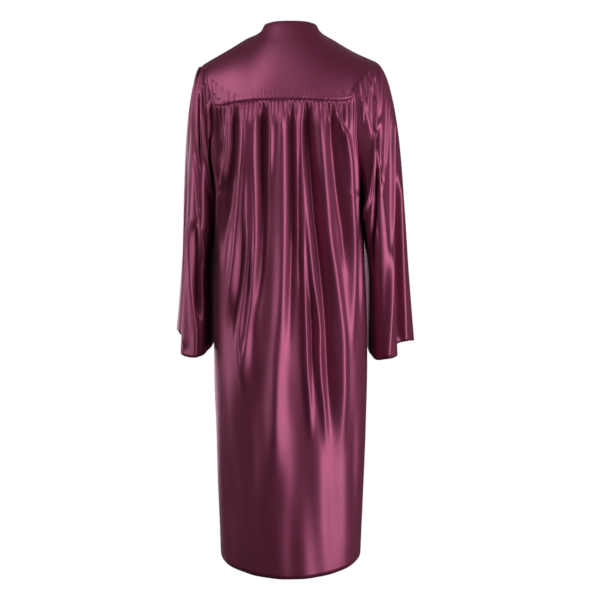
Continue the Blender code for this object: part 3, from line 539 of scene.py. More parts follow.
def thin_cloth(name, grid, flat, thickness, look, wrap=False):
    """A thin closed shell on a grid of points, facing out; flat gives each point's place on the uncut cloth."""
    inner = grid - normals(grid, wrap) * np.asarray(thickness)[..., None]
    rows, steps = grid.shape[:2]
    size = rows * steps
    vertices = np.concatenate((grid.reshape(-1, 3), inner.reshape(-1, 3)))
    index = np.arange(size).reshape(rows, steps)
    if wrap:
        index = np.concatenate((index, index[:, :1]), axis=1)
    a, b, c, d = index[:-1, :-1], index[:-1, 1:], index[1:, 1:], index[1:, :-1]
    quads = [np.stack((a, d, c, b), axis=-1).reshape(-1, 4)]
    quads.append(np.stack((a, b, c, d), axis=-1).reshape(-1, 4) + size)
    for edge, way in ((index[0], 1), (index[-1], -1)):
        run = edge[::way]
        quads.append(np.stack((run[:-1], run[1:], run[1:] + size, run[:-1] + size), axis=-1))
    if not wrap:
        for edge, way in ((index[:, 0], -1), (index[:, -1], 1)):
            run = edge[::way]
            quads.append(np.stack((run[:-1], run[1:], run[1:] + size, run[:-1] + size), axis=-1))
    faces = np.concatenate(quads)
    mesh = bpy.data.meshes.new(name)
    mesh.vertices.add(len(vertices))
    mesh.vertices.foreach_set("co", vertices.astype(np.float32).ravel())
    mesh.loops.add(faces.size)
    mesh.loops.foreach_set("vertex_index", faces.astype(np.int32).ravel())
    mesh.polygons.add(len(faces))
    mesh.polygons.foreach_set("loop_start", np.arange(0, faces.size, 4, dtype=np.int32))
    mesh.polygons.foreach_set("use_smooth", np.ones(len(faces), bool))
    mesh.update(calc_edges=True)
    both = np.concatenate((flat.reshape(-1, 2), flat.reshape(-1, 2)))
    layer = mesh.uv_layers.new(name="cloth")
    uv = both[faces.ravel()]
    if wrap:
        uv = uv.reshape(-1, 4, 2)
        width = flat[..., 0].max() * (1 + 1 / steps)
        low = uv[..., 0] < uv[..., 0].max(axis=1, keepdims=True) - width / 2
        uv[..., 0] += low * width
        uv = uv.reshape(-1, 2)
    layer.data.foreach_set("uv", uv.astype(np.float32).ravel())
    mesh.validate()
    piece = bpy.data.objects.new(name, mesh)
    bpy.context.scene.collection.objects.link(piece)
    mesh.materials.append(look)
    return piece


def flat_places(grid):
    """Each point's place on the uncut cloth, from lengths along the rows and down the columns."""
    across = np.linalg.norm(np.diff(grid, axis=1), axis=-1).mean(axis=0)
    down = np.linalg.norm(np.diff(grid, axis=0), axis=-1).mean(axis=1)
    u = np.concatenate(([0.0], np.cumsum(across)))
    v = np.concatenate(([0.0], np.cumsum(down)))
    return np.stack(np.meshgrid(u, v), axis=-1)


def seam_z(share):
    """Height of the seam below the back yoke."""
    places, heights = table(BACK_SEAM)
    return smooth(share, places, heights[:, 0])


def panel_rows(top, hem, count):
    """Heights of a panel's rows at each column, closer together at the top."""
    t = np.linspace(0, 1, count)[:, None] ** PANEL_ROW_POWER
    return top + (hem - top) * t


def rolled(top, foot, back, down, out, v):
    """A yoke's curve from its upper line to its seam, through one handle."""
    handle = np.stack(
        (
            (top[..., 0] + foot[..., 0]) / 2 + out,
            top[..., 1] + back * (foot[..., 1] - top[..., 1]),
            top[..., 2] + down * (foot[..., 2] - top[..., 2]),
        ),
        axis=-1,
    )
    v = v[:, None, None]
    return (1 - v) ** 2 * top + 2 * v * (1 - v) * handle + v**2 * foot


def cloth_material(name, colour, sheen_colour, metallic, roughness):
    """Satin: floats of shiny thread with a soft metallic gleam, and a fine weave."""
    look = bpy.data.materials.new(name)
    look.use_nodes = True
    nodes = look.node_tree.nodes
    links = look.node_tree.links
    shader = nodes["Principled BSDF"]
    shader.inputs["Metallic"].default_value = metallic
    shader.inputs["Roughness"].default_value = roughness
    shader.inputs["IOR"].default_value = 1.9
    shader.inputs["Specular IOR Level"].default_value = 0.6
    shader.inputs["Specular Tint"].default_value = (*sheen_colour, 1)
    shader.inputs["Anisotropic"].default_value = 0.35
    shader.inputs["Sheen Weight"].default_value = 0.15
    shader.inputs["Sheen Roughness"].default_value = 0.4
    shader.inputs["Sheen Tint"].default_value = (*sheen_colour, 1)
    place = nodes.new("ShaderNodeTexCoord")
    cloud = nodes.new("ShaderNodeTexNoise")
    cloud.inputs["Scale"].default_value = 9.0
    cloud.inputs["Detail"].default_value = 3.0
    tone = nodes.new("ShaderNodeValToRGB")
    tone.color_ramp.elements[0].position = 0.3
    tone.color_ramp.elements[1].position = 0.7
    tone.color_ramp.elements[0].color = (*[c * 0.9 for c in colour], 1)
    tone.color_ramp.elements[1].color = (*[c * 1.08 for c in colour], 1)
    uv = nodes.new("ShaderNodeUVMap")
    uv.uv_map = "cloth"
    stretch = nodes.new("ShaderNodeMapping")
    stretch.inputs["Scale"].default_value = (2200, 500, 1)
    weave = nodes.new("ShaderNodeTexNoise")
    weave.inputs["Scale"].default_value = 1.0
    weave.inputs["Detail"].default_value = 1.0
    bump = nodes.new("ShaderNodeBump")
    bump.inputs["Strength"].default_value = 0.10
    bump.inputs["Distance"].default_value = 0.0002
    tangent = nodes.new("ShaderNodeTangent")
    tangent.direction_type = "UV_MAP"
    tangent.uv_map = "cloth"
    links.new(place.outputs["Object"], cloud.inputs["Vector"])
    links.new(cloud.outputs["Fac"], tone.inputs["Fac"])
    links.new(tone.outputs["Color"], shader.inputs["Base Color"])
    links.new(uv.outputs["UV"], stretch.inputs["Vector"])
    links.new(stretch.outputs["Vector"], weave.inputs["Vector"])
    links.new(weave.outputs["Fac"], bump.inputs["Height"])
    links.new(bump.outputs["Normal"], shader.inputs["Normal"])
    links.new(tangent.outputs["Tangent"], shader.inputs["Tangent"])
    return look


def satin(context):
    look = bpy.data.materials.get("satin")
    if look is None:
        sizes = context.scene.gown_cloth
        look = cloth_material("satin", (0.17, 0.019, 0.058), (1.0, 0.64, 0.84), sizes.metallic, sizes.roughness)
    return look


def panel_lift(grid, below, folds, gathers, seed, mirror=1):
    """Height of a gathered panel over the plain form, from its seam with the yoke down."""
    x, z = grid[..., 0], grid[..., 2]
    lift = fold_lift(grid, folds) + gather_lift(grid, below, gathers, mirror)
    lift += unevenness(x, z, seed, 0.0012, 0.07, 0.4) * ease(below / 0.08)
    return lift * (1 - np.exp(-np.maximum(below, 0) / 0.003))


def tucked(below):
    """How far a panel's upper edge lies in under the yoke."""
    return 0.0035 * ease((0.002 - below) / 0.003)


def back_panel_grid(count_rows, count_columns):
    """The gathered back, from under the yoke to the hem."""
    shares = np.linspace(-1, 1, count_columns)
    seam = seam_z(shares)
    z = panel_rows(seam + TUCK, hem_z(0.5 * np.abs(shares)), count_rows)
    girth = np.zeros_like(z)
    calm = np.zeros_like(z)
    for side in (1, -1):
        mine = shares >= 0 if side > 0 else shares < 0
        place, reach, edge = FORM.column(np.abs(shares[mine]), z[:, mine], side, True)
        girth[:, mine] = place
        calm[:, mine] = ease((edge - reach) / SEAM_CALM)
    grid = FORM.point(girth, z)
    lift = panel_lift(grid, seam - z, BACK_FOLDS, BACK_GATHERS, 3) * calm
    grid = grid + FORM.outward(girth, z) * (lift - tucked(seam - z))[..., None]
    return grid[:, ::-1]


def front_panel_grid(side, folds, count_rows, count_columns):
    """A gathered front, with its laps under the back and, below the zip, under the other front."""
    shares = np.linspace(0, 1, count_columns)
    z = panel_rows(FRONT_YOKE_Z + TUCK, hem_z(1 - 0.5 * shares), count_rows)
    girth, reach, edge = FORM.column(shares, z, side, False)
    calm = ease((edge - reach) / SEAM_CALM) * ease(reach / ZIP_CALM)
    girth[:, -1] -= side * SEAM_LAP
    grid = FORM.point(girth, z)
    lift = panel_lift(grid, FRONT_YOKE_Z - z, folds, FRONT_GATHERS, 8 + side, side) * calm
    lift[:, -1] -= LAP_DEPTH
    grid = grid + FORM.outward(girth, z) * (lift - tucked(FRONT_YOKE_Z - z))[..., None]
    grid[:, 0, 0] = side * front_edge(z[:, 0])
    if side > 0:
        sewn = ease((ZIP_END_Z - z[:, 0]) / 0.004)
        grid[:, 0, 0] -= sewn * (front_edge(z[:, 0]) + ZIP_HALF_OPENING)
        grid[:, 0, 1] += sewn * LAP_DEPTH
    return grid if side > 0 else grid[:, ::-1]


def back_yoke_grid(count_rows, count_columns):
    """The back yoke, with puckers at the ends of its seam."""
    shares = np.linspace(-1, 1, count_columns)
    z = seam_z(shares)
    girth = np.zeros_like(shares)
    for side in (1, -1):
        mine = shares >= 0 if side > 0 else shares < 0
        girth[mine] = FORM.column(np.abs(shares[mine]), z[mine], side, True)[0]
    foot = FORM.point(girth, z)
    top = smooth(shares, *table(BACK_TOP))
    back, down, out = smooth(shares, *table(BACK_ROLL)).T
    v = np.linspace(0, 1, count_rows) ** 0.8
    grid = rolled(top, foot, back, down, out, v)
    reach = np.arange(-3 * YOKE_BLUR, 3 * YOKE_BLUR + 1)
    weights = np.exp(-0.5 * (reach / YOKE_BLUR) ** 2)
    wide = np.pad(grid, ((0, 0), (len(reach) // 2, len(reach) // 2), (0, 0)), "reflect", reflect_type="odd")
    soft = sum(w * wide[:, i : i + count_columns] for i, w in enumerate(weights / weights.sum()))
    share = (ease(v / 0.3) * ease((1 - v) / 0.3))[:, None, None]
    grid = (grid + share * (soft - grid))[:, ::-1]
    up = grid[..., 2] - z[None, ::-1]
    lift = fold_lift(grid, YOKE_PUCKERS) + unevenness(grid[..., 0], grid[..., 2], 5, 0.0003, 0.2, 0.2)
    lift += 0.0004 * np.exp(-(((up - 0.005) / 0.003) ** 2)) - 0.0008 * np.exp(-up / 0.001)
    lift += unevenness(grid[..., 0], 0 * up, 6, 0.0003, 0.010, 1.0) * np.exp(-up / 0.010)
    return grid + normals(grid) * lift[..., None]


def front_yoke_grid(side, count_rows, count_columns):
    """A front yoke, tucked under the back one along the shoulder."""
    shares = np.linspace(0, 1, count_columns)
    foot = FORM.point(FORM.column(shares, FRONT_YOKE_Z, side, False)[0], FRONT_YOKE_Z)
    neck = smooth(shares, *table(FRONT_TOP))
    neck[:, 0] = side * np.maximum(neck[:, 0], ZIP_HALF_OPENING)
    top = np.where((shares < NECK_SHARE)[:, None], neck, smooth(side * shares, *table(BACK_TOP)))
    under = ease((shares - NECK_SHARE) / 0.03)
    top[:, 1] += TUCK * under
    top[:, 2] -= 0.8 * TUCK * under
    back, down, out = smooth(shares, *table(FRONT_ROLL)).T
    grid = rolled(top, foot, back, down, side * out, np.linspace(0, 1, count_rows))
    grid[:, 0, 1] = -smooth(grid[:, 0, 2], *table(BODY))[:, 3]
    grid[:, 0, 0] = side * ZIP_HALF_OPENING
    return grid if side > 0 else grid[:, ::-1]


def armhole_half(side, behind):
    """Points of the armhole seam from the shoulder tip to the underarm, behind or before."""
    seam = float(seam_z(side)) if behind else FRONT_YOKE_Z
    top = smooth(side, *table(BACK_TOP))
    back, down, out = smooth(side if behind else 1.0, *table(BACK_ROLL if behind else FRONT_ROLL))
    if not behind:
        out = side * out
    place = side * np.interp(seam, FORM.z, FORM.armhole[side, behind])
    foot = FORM.point(np.array(place), seam)
    upper = rolled(top[None], foot[None], back, down, out, np.linspace(0, 1, 60)[:-1])[:, 0]
    heights = np.linspace(seam - GAP, UNDERARM_Z, 160)
    places = side * np.interp(heights, FORM.z, FORM.armhole[side, behind])
    return np.concatenate((upper, FORM.point(places, heights)))


def armhole_loop(side, count):
    """Points of the whole armhole seam at even turns, from the shoulder tip backwards, down and up in front."""
    turns = np.arange(count) / count
    halves = {}
    for behind in (True, False):
        half = armhole_half(side, behind)
        lengths = np.concatenate(([0.0], np.cumsum(np.linalg.norm(np.diff(half, axis=0), axis=1))))
        halves[behind] = (lengths / lengths[-1] / 2, half)
    points = np.zeros((count, 3))
    for axis in range(3):
        behind = np.interp(turns, halves[True][0], halves[True][1][:, axis])
        before = np.interp(1 - turns, halves[False][0], halves[False][1][:, axis])
        points[:, axis] = np.where(turns <= 0.5, behind, before)
    return turns, points


def around(turns, rows):
    """Values of a sleeve table at turns, smooth all round."""
    data = np.array(rows)
    before = data.copy()
    before[:, 0] -= 1
    after = data.copy()
    after[:, 0] += 1
    whole = np.concatenate((before, data, after))
    return smooth(turns, whole[:, 0], whole[:, 1:])


def sleeve_grid(side, rows, folds, seed, count_rows, count_columns):
    """A bell sleeve, hung from the armhole to the cuff, with its folds."""
    turns, start = armhole_loop(side, count_columns)
    data = around(turns, rows)
    leave = np.stack((side * data[:, 0], data[:, 1], data[:, 2]), axis=-1)
    cuff = np.stack((side * data[:, 3], data[:, 4], data[:, 5]), axis=-1)
    arrive = np.stack((side * data[:, 6], np.zeros(len(turns)), data[:, 7]), axis=-1)
    first = start - np.array((side * TUCK, 0.0, 0.0))
    v = np.linspace(0, 1, count_rows)[:, None, None] ** SLEEVE_ROW_POWER
    grid = (1 - v) ** 3 * first + 3 * v * (1 - v) ** 2 * (first + leave)
    grid = grid + 3 * v**2 * (1 - v) * (cuff + arrive) + v**3 * cuff
    v = v[:, 0]
    length = np.linalg.norm(np.diff(grid, axis=0), axis=-1).sum(axis=0).mean()
    facing = normals(grid, True)[..., 1] * side
    lift = fold_lift(grid, folds, ease((facing - 0.05) / 0.45), True)
    lift += fold_lift(grid, SLEEVE_FRONT_FOLDS, ease((-0.05 - facing) / 0.45), True, side)
    lift += unevenness(turns[None] * 0.45 + 0 * v, v * length, seed, 0.0008, 0.08, 0.4)
    lift *= 1 - np.exp(-v * length / 0.015)
    inward = ease((-normals(grid, True)[..., 0] - 0.2) / 0.4)
    lift += UNDERARM_BULGE * inward * np.exp(-(((grid[..., 2] - BULGE_Z) / BULGE_SPREAD) ** 2))
    if side < 0:
        grid = grid[:, ::-1]
        lift = lift[:, ::-1]
    return grid + normals(grid, True) * lift[..., None]


def finish_cloth(piece, *nodes):
    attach(piece, "gown")
    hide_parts(*nodes)
    return piece


def run_down(grid):
    """Length down the cloth from its first row to each point."""
    steps = np.linalg.norm(np.diff(grid, axis=0), axis=-1)
    return np.concatenate((np.zeros((1, grid.shape[1])), np.cumsum(steps, axis=0)))


def wall_thickness(context, grid, hem=0.0, rim=0.0):
    """Thickness of the cloth, more where the hem is turned up inside or the upper edge is turned in."""
    down = run_down(grid)
    turned = (down[-1:] - down < hem) | (down < rim)
    return context.scene.gown_cloth.thickness * (1 + TURN_THICKER * turned)


def line_on(grid, distance, wrap=False):
    """Points across the cloth at a distance down from its upper edge, or up from its lower edge if negative."""
    facing = normals(grid, wrap)
    if distance < 0:
        grid = grid[::-1]
        facing = facing[::-1]
    down = run_down(grid)
    made = []
    for column in range(grid.shape[1]):
        at = [np.interp(abs(distance), down[:, column], grid[:, column, axis]) for axis in range(3)]
        out = [np.interp(abs(distance), down[:, column], facing[:, column, axis]) for axis in range(3)]
        made.append(np.array(at) + THREAD_LIFT * np.array(out))
    return np.array(made)


def repeat_tree(name, along):
    """Node tree that sets small bars on a curve: along it for stitches, or across the gown for zip teeth."""
    tree = bpy.data.node_groups.new(name, "GeometryNodeTree")
    tree.interface.new_socket("Geometry", in_out="INPUT", socket_type="NodeSocketGeometry")
    for size in ("Pitch", "Length", "Radius"):
        tree.interface.new_socket(size, in_out="INPUT", socket_type="NodeSocketFloat")
    tree.interface.new_socket("Material", in_out="INPUT", socket_type="NodeSocketMaterial")
    tree.interface.new_socket("Geometry", in_out="OUTPUT", socket_type="NodeSocketGeometry")
    nodes, links = tree.nodes, tree.links
    given = nodes.new("NodeGroupInput")
    result = nodes.new("NodeGroupOutput")
    spaced = nodes.new("GeometryNodeResampleCurve")
    spaced.mode = "LENGTH"
    bar = nodes.new("GeometryNodeMeshCylinder")
    bar.inputs["Vertices"].default_value = BAR_SIDES
    placed = nodes.new("GeometryNodeInstanceOnPoints")
    tangent = nodes.new("GeometryNodeInputTangent")
    turned = nodes.new("FunctionNodeAlignRotationToVector")
    turned.axis = "Z"
    real = nodes.new("GeometryNodeRealizeInstances")
    smooth_bar = nodes.new("GeometryNodeSetShadeSmooth")
    painted = nodes.new("GeometryNodeSetMaterial")
    links.new(given.outputs["Geometry"], spaced.inputs["Curve"])
    links.new(given.outputs["Pitch"], spaced.inputs["Length"])
    links.new(given.outputs["Length"], bar.inputs["Depth"])
    links.new(given.outputs["Radius"], bar.inputs["Radius"])
    links.new(spaced.outputs["Curve"], placed.inputs["Points"])
    links.new(bar.outputs["Mesh"], placed.inputs["Instance"])
    if along:
        links.new(tangent.outputs["Tangent"], turned.inputs["Vector"])
    else:
        turned.inputs["Vector"].default_value = (1, 0, 0)
    links.new(turned.outputs["Rotation"], placed.inputs["Rotation"])
    links.new(placed.outputs["Instances"], real.inputs["Geometry"])
    links.new(real.outputs["Geometry"], smooth_bar.inputs["Geometry"])
    links.new(smooth_bar.outputs["Geometry"], painted.inputs["Geometry"])
    links.new(given.outputs["Material"], painted.inputs["Material"])
    links.new(painted.outputs["Geometry"], result.inputs["Geometry"])
    return tree


def bars_along(name, lines, pitch, length, radius, look, along=True):
    """One mesh of small bars set along several lines."""
    curve = bpy.data.curves.new(name, "CURVE")
    curve.dimensions = "3D"
    for points in lines:
        spline = curve.splines.new("POLY")
        spline.points.add(len(points) - 1)
        places = np.column_stack((points, np.ones(len(points))))
        spline.points.foreach_set("co", places.astype(np.float32).ravel())
    guide = bpy.data.objects.new(name + "_guide", curve)
    bpy.context.scene.collection.objects.link(guide)
    tree = repeat_tree(name + "_tree", along)
    modifier = guide.modifiers.new("bars", "NODES")
    modifier.node_group = tree
    values = {"Pitch": pitch, "Length": length, "Radius": radius, "Material": look}
    for item in tree.interface.items_tree:
        if item.in_out == "INPUT" and item.name in values:
            modifier[item.identifier] = values[item.name]
    graph = bpy.context.evaluated_depsgraph_get()
    graph.update()
    mesh = bpy.data.meshes.new_from_object(guide.evaluated_get(graph))
    guide.modifiers.clear()
    bpy.data.objects.remove(guide, do_unlink=True)
    mesh.name = name
    piece = bpy.data.objects.new(name, mesh)
    bpy.context.scene.collection.objects.link(piece)
    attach(piece, "gown")
    return piece


def plain_material(name, colour, roughness, metallic, grain, depth):
    """A simple surface with a little grain in its colour and relief."""
    look = bpy.data.materials.get(name)
    if look is not None:
        return look
    look = bpy.data.materials.new(name)
    look.use_nodes = True
    nodes, links = look.node_tree.nodes, look.node_tree.links
    shader = nodes["Principled BSDF"]
    shader.inputs["Roughness"].default_value = roughness
    shader.inputs["Metallic"].default_value = metallic
    place = nodes.new("ShaderNodeTexCoord")
    noise = nodes.new("ShaderNodeTexNoise")
    noise.inputs["Scale"].default_value = grain
    noise.inputs["Detail"].default_value = 2.0
    tone = nodes.new("ShaderNodeValToRGB")
    tone.color_ramp.elements[0].position = 0.3
    tone.color_ramp.elements[1].position = 0.7
    tone.color_ramp.elements[0].color = (*[c * 0.85 for c in colour], 1)
    tone.color_ramp.elements[1].color = (*[c * 1.15 for c in colour], 1)
    bump = nodes.new("ShaderNodeBump")
    bump.inputs["Strength"].default_value = 0.3
    bump.inputs["Distance"].default_value = depth
    links.new(place.outputs["Object"], noise.inputs["Vector"])
    links.new(noise.outputs["Fac"], tone.inputs["Fac"])
    links.new(tone.outputs["Color"], shader.inputs["Base Color"])
    links.new(noise.outputs["Fac"], bump.inputs["Height"])
    links.new(bump.outputs["Normal"], shader.inputs["Normal"])
    return look


def front_line(z):
    """Points of the centre front at heights, and the outward directions there."""
    step = 0.002
    depth = smooth(z, *table(BODY))[..., 3]
    slope = (smooth(z + step, *table(BODY))[..., 3] - smooth(z - step, *table(BODY))[..., 3]) / (2 * step)
    outward = np.stack((0 * z, -np.ones_like(z), -slope), axis=-1)
    outward /= np.linalg.norm(outward, axis=-1, keepdims=True)
    return np.stack((0 * z, -depth, z), axis=-1), outward


class GownCloth(PropertyGroup):
    thickness: FloatProperty(
        name="Thickness", description="Thickness of the cloth", default=0.0006, unit="LENGTH"
    )
    hem: FloatProperty(
        name="Hem", description="Depth of the turned hems and cuffs", default=0.018, unit="LENGTH"
    )
    neck_turn: FloatProperty(
        name="Neck edge", description="Depth of the turned neck edge", default=0.006, unit="LENGTH"
    )
    zip_stitch: FloatProperty(
        name="Zip stitch", description="From a front's edge to its stitches", default=0.006, unit="LENGTH"
    )
    rows: IntProperty(name="Rows", description="Steps down a panel", default=140)
    columns: IntProperty(name="Columns", description="Steps across the back", default=341)
    metallic: FloatProperty(name="Gleam", description="How metallic the satin gleams", default=0.62)
    roughness: FloatProperty(name="Roughness", description="How dull the satin is", default=0.45)


class GownTrim(PropertyGroup):
    stitch_pitch: FloatProperty(
        name="Stitch pitch", description="From stitch to stitch", default=0.0035, unit="LENGTH"
    )
    stitch_length: FloatProperty(
        name="Stitch length", description="Thread seen of a stitch", default=0.0026, unit="LENGTH"
    )
    thread_radius: FloatProperty(
        name="Thread radius", description="Half the thread's width", default=0.0002, unit="LENGTH"
    )
    tooth_pitch: FloatProperty(
        name="Tooth pitch", description="From tooth to tooth of a side", default=0.0016, unit="LENGTH"
    )
    tooth_length: FloatProperty(
        name="Tooth length", description="Length of a tooth across", default=0.0036, unit="LENGTH"
    )
    tooth_radius: FloatProperty(
        name="Tooth radius", description="Half a tooth's width", default=0.00038, unit="LENGTH"
    )
    tooth_offset: FloatProperty(
        name="Tooth offset", description="From the centre to a tooth's middle", default=0.0009, unit="LENGTH"
    )


class GownStage(PropertyGroup):
    distance: FloatProperty(
        name="Camera distance", description="From the camera to the gown", default=4.0, unit="LENGTH"
    )
    width: FloatProperty(
        name="Width seen", description="Width seen at the gown", default=1.392, unit="LENGTH"
    )
    right_power: FloatProperty(name="Right light", description="Power of the right softbox", default=112.0)
    left_power: FloatProperty(name="Left light", description="Power of the left softbox", default=38.0)
    top_power: FloatProperty(name="Top light", description="Power of the softbox above", default=70.0)
    fill: FloatProperty(name="Fill", description="Strength of the light from all round", default=0.04)


class GOWN_OT_back(Operator):
    """Build the gathered back panel"""

    bl_idname = "gown.back"
    bl_label = "Back panel"

    def execute(self, context):
        sizes = context.scene.gown_cloth
        grid = back_panel_grid(sizes.rows, sizes.columns)
        thick = wall_thickness(context, grid, hem=sizes.hem)
        piece = thin_cloth("back", grid, flat_places(grid), thick, satin(context))
        finish_cloth(piece, "back_panel")
        LINES["hem"].append(line_on(grid, -sizes.hem))
        return {"FINISHED"}


class GOWN_OT_fronts(Operator):
    """Build the two gathered fronts"""

    bl_idname = "gown.fronts"
    bl_label = "Fronts"

    def execute(self, context):
        sizes = context.scene.gown_cloth
        for name, side, folds in (("left", 1, LEFT_FRONT_FOLDS), ("right", -1, RIGHT_FRONT_FOLDS)):
            grid = front_panel_grid(side, folds, sizes.rows, sizes.columns // 2 + 1)
            thick = wall_thickness(context, grid, hem=sizes.hem)
            piece = thin_cloth(f"front_{name}", grid, flat_places(grid), thick, satin(context))
            finish_cloth(piece, f"front_panel_{name}")
            LINES["hem"].append(line_on(grid, -sizes.hem))
            beside = grid if side > 0 else grid[:, ::-1]
            edge = line_on(np.swapaxes(beside, 0, 1), sizes.zip_stitch)
            if side > 0:  # turned on its side, this grid faces inwards
                edge[:, 1] -= 2 * THREAD_LIFT
            LINES["zip"].append(edge[(edge[:, 2] > ZIP_END_Z) & (edge[:, 2] < FRONT_YOKE_Z)])
        return {"FINISHED"}


class GOWN_OT_yokes(Operator):
    """Build the back yoke and the two front yokes"""

    bl_idname = "gown.yokes"
    bl_label = "Yokes"

    def execute(self, context):
        sizes = context.scene.gown_cloth
        grid = back_yoke_grid(YOKE_ROWS, sizes.columns)
        across = np.linspace(-1, 1, sizes.columns)
        rim = np.where(np.abs(across) < NECK_SHARE, sizes.neck_turn, 0)
        thick = wall_thickness(context, grid, rim=rim)
        piece = thin_cloth("yoke_back", grid, flat_places(grid), thick, satin(context))
        finish_cloth(piece, "back_yoke")
        LINES["neck"].append(line_on(grid, sizes.neck_turn)[np.abs(across) < NECK_SHARE])
        for name, side in (("left", 1), ("right", -1)):
            grid = front_yoke_grid(side, FRONT_YOKE_ROWS, sizes.columns // 2 + 1)
            across = np.linspace(0, 1, grid.shape[1])[::side]
            rim = np.where(across < NECK_SHARE, sizes.neck_turn, 0)
            thick = wall_thickness(context, grid, rim=rim)
            piece = thin_cloth(f"yoke_front_{name}", grid, flat_places(grid), thick, satin(context))
            finish_cloth(piece, f"front_yoke_{name}")
            LINES["neck"].append(line_on(grid, sizes.neck_turn)[(across < NECK_SHARE) & (across > 0.02)])
        return {"FINISHED"}


class GOWN_OT_sleeves(Operator):
    """Build the two bell sleeves"""

    bl_idname = "gown.sleeves"
    bl_label = "Sleeves"

    def execute(self, context):
        for name, side, rows, folds, seed in (
            ("left", 1, SLEEVE_LEFT, SLEEVE_LEFT_FOLDS, 21),
            ("right", -1, SLEEVE_RIGHT, SLEEVE_RIGHT_FOLDS, 34),
        ):
            grid = sleeve_grid(side, rows, folds, seed, SLEEVE_ROWS, SLEEVE_COLUMNS)
            flat = flat_places(grid)
            thick = wall_thickness(context, grid, hem=context.scene.gown_cloth.hem)
            piece = thin_cloth(f"sleeve_{name}_cloth", grid, flat, thick, satin(context), wrap=True)
            finish_cloth(piece, f"sleeve_{name}")
            LINES["hem"].append(line_on(grid, -context.scene.gown_cloth.hem, True))
        return {"FINISHED"}


class GOWN_OT_stitches(Operator):
    """Sew the hems, cuffs and neck edge, and both sides of the zip"""

    bl_idname = "gown.stitches"
    bl_label = "Stitches"

    def execute(self, context):
        sizes = context.scene.gown_trim
        thread = plain_material("thread", (0.13, 0.016, 0.045), 0.5, 0.0, 900.0, 0.0001)
        for name, lines in LINES.items():
            if not lines:
                raise ValueError(f"build the cloth before the {name} stitches")
            pitch, length = sizes.stitch_pitch, sizes.stitch_length
            bars_along(f"stitches_{name}", lines, pitch, length, sizes.thread_radius, thread)
        return {"FINISHED"}


class GOWN_OT_zip(Operator):
    """Build the zip's teeth, and finish its tapes, slider and tab"""

    bl_idname = "gown.zip"
    bl_label = "Zip"

    def execute(self, context):
        sizes = context.scene.gown_trim
        plastic = plain_material("coil", (0.10, 0.014, 0.040), 0.35, 0.0, 600.0, 0.00005)
        lines = []
        for side in (1, -1):
            start = ZIP_TOP_Z - 0.003 - (sizes.tooth_pitch / 2 if side < 0 else 0)
            z = np.arange(start, ZIP_END_Z, -0.002)
            points, outward = front_line(z)
            points = points - sizes.tooth_radius * 1.3 * outward
            points[:, 0] = side * sizes.tooth_offset
            lines.append(points)
        teeth = bars_along(
            "zip_teeth", lines, sizes.tooth_pitch, sizes.tooth_length, sizes.tooth_radius, plastic, along=False
        )
        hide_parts("zip_chain")
        tape = plain_material("tape", (0.085, 0.011, 0.032), 0.8, 0.0, 1400.0, 0.0002)
        metal = plain_material("painted_metal", (0.13, 0.018, 0.05), 0.3, 0.7, 260.0, 0.00003)
        for name, look in (
            ("zip_tape_left", tape), ("zip_tape_right", tape), ("zip_slider", metal), ("zip_pull_tab", metal)
        ):
            node = bpy.data.objects[name]
            node.data.materials.clear()
            node.data.materials.append(look)
            if look == metal:
                round_edge = node.modifiers.new("rounded", "BEVEL")
                round_edge.width = 0.0003
                round_edge.segments = 2
        return {"FINISHED"}


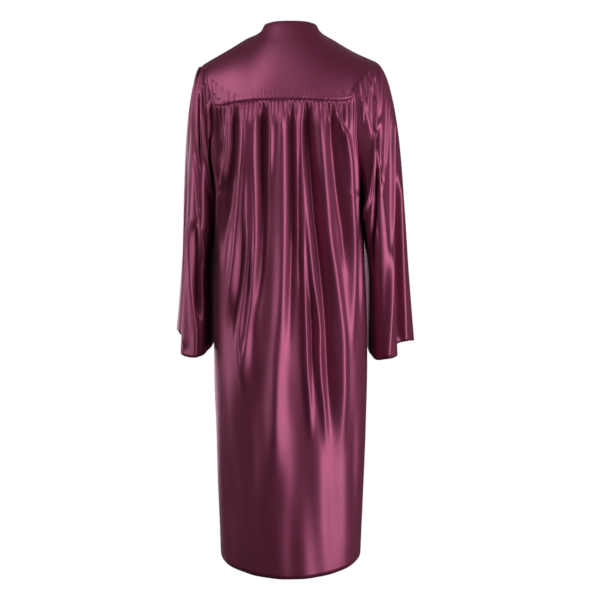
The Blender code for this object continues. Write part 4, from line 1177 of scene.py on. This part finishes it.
class GOWN_OT_stage(Operator):
    """Set out the floor, lights and camera"""

    bl_idname = "gown.stage"
    bl_label = "Stage"

    def execute(self, context):
        stage = context.scene.gown_stage
        bpy.ops.mesh.primitive_plane_add(size=30, location=(0, 0, -1.8))
        floor = context.object
        floor.name = "floor"
        paper = bpy.data.materials.new("paper")
        paper.use_nodes = True
        paper.node_tree.nodes["Principled BSDF"].inputs["Base Color"].default_value = (0.9, 0.9, 0.9, 1)
        paper.node_tree.nodes["Principled BSDF"].inputs["Roughness"].default_value = 0.9
        floor.data.materials.append(paper)
        floor.visible_camera = False
        floor.visible_glossy = False
        floor.visible_diffuse = False

        world = context.scene.world or bpy.data.worlds.new("world")
        context.scene.world = world
        world.use_nodes = True
        nodes = world.node_tree.nodes
        links = world.node_tree.links
        nodes.clear()
        seen = nodes.new("ShaderNodeLightPath")
        white = nodes.new("ShaderNodeBackground")
        dim = nodes.new("ShaderNodeBackground")
        white.inputs["Color"].default_value = (1, 1, 1, 1)
        white.inputs["Strength"].default_value = 1.0
        dim.inputs["Color"].default_value = (1, 1, 1, 1)
        dim.inputs["Strength"].default_value = stage.fill
        mixed = nodes.new("ShaderNodeMixShader")
        out = nodes.new("ShaderNodeOutputWorld")
        links.new(seen.outputs["Is Camera Ray"], mixed.inputs["Fac"])
        links.new(dim.outputs["Background"], mixed.inputs[1])
        links.new(white.outputs["Background"], mixed.inputs[2])
        links.new(mixed.outputs["Shader"], out.inputs["Surface"])

        for name, x, y, z, power, width, height in (
            ("softbox_right", -2.4, 1.6, -0.4, stage.right_power, 2.4, 2.8),
            ("softbox_left", 2.8, -0.1, 0.0, stage.left_power, 1.6, 1.5),
            ("softbox_top", 1.9, 1.8, 1.7, stage.top_power, 3.0, 1.6),
            ("softbox_front", 1.3, -2.8, -0.5, 22.0, 1.1, 1.8),
        ):
            lamp = bpy.data.lights.new(name, "AREA")
            lamp.shape = "RECTANGLE"
            lamp.size = width
            lamp.size_y = height
            lamp.energy = power
            light = bpy.data.objects.new(name, lamp)
            light.location = (x, y, z)
            aim = np.array((0.0, 0.0, -0.6)) - np.array((x, y, z))
            yaw = math.atan2(aim[1], aim[0]) - math.pi / 2
            pitch = math.atan2(aim[2], math.hypot(aim[0], aim[1])) + math.pi / 2
            light.rotation_euler = (pitch, 0, yaw)
            context.scene.collection.objects.link(light)

        lens = bpy.data.cameras.new("camera")
        lens.sensor_width = 36
        lens.lens = 36 * stage.distance / stage.width
        camera = bpy.data.objects.new("camera", lens)
        camera.location = (-0.022, stage.distance, -0.6264)
        camera.rotation_euler = (math.pi / 2, 0, math.pi)
        context.scene.collection.objects.link(camera)
        context.scene.camera = camera
        context.scene.view_settings.view_transform = "Standard"
        return {"FINISHED"}


class GOWN_PT_panel(Panel):
    bl_label = "Graduation gown"
    bl_idname = "GOWN_PT_panel"
    bl_space_type = "VIEW_3D"
    bl_region_type = "UI"
    bl_category = "Gown"

    def draw(self, context):
        for group in (context.scene.gown_cloth, context.scene.gown_trim, context.scene.gown_stage):
            for name in group.__annotations__:
                self.layout.prop(group, name)
        for operator in OPERATORS:
            self.layout.operator(operator.bl_idname)


OPERATORS = (
    GOWN_OT_yokes, GOWN_OT_back, GOWN_OT_fronts, GOWN_OT_sleeves, GOWN_OT_stitches, GOWN_OT_zip, GOWN_OT_stage
)
CLASSES = (GownCloth, GownTrim, GownStage) + OPERATORS + (GOWN_PT_panel,)


def register():
    for made in CLASSES:
        bpy.utils.register_class(made)
    bpy.types.Scene.gown_cloth = PointerProperty(type=GownCloth)
    bpy.types.Scene.gown_trim = PointerProperty(type=GownTrim)
    bpy.types.Scene.gown_stage = PointerProperty(type=GownStage)


def unregister():
    del bpy.types.Scene.gown_stage
    del bpy.types.Scene.gown_trim
    del bpy.types.Scene.gown_cloth
    for made in reversed(CLASSES):
        bpy.utils.unregister_class(made)


def main():
    clear_scene()
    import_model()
    register()
    bpy.ops.gown.yokes()
    bpy.ops.gown.back()
    bpy.ops.gown.fronts()
    bpy.ops.gown.sleeves()
    bpy.ops.gown.stitches()
    bpy.ops.gown.zip()
    bpy.ops.gown.stage()


if __name__ == "__main__":
    main()
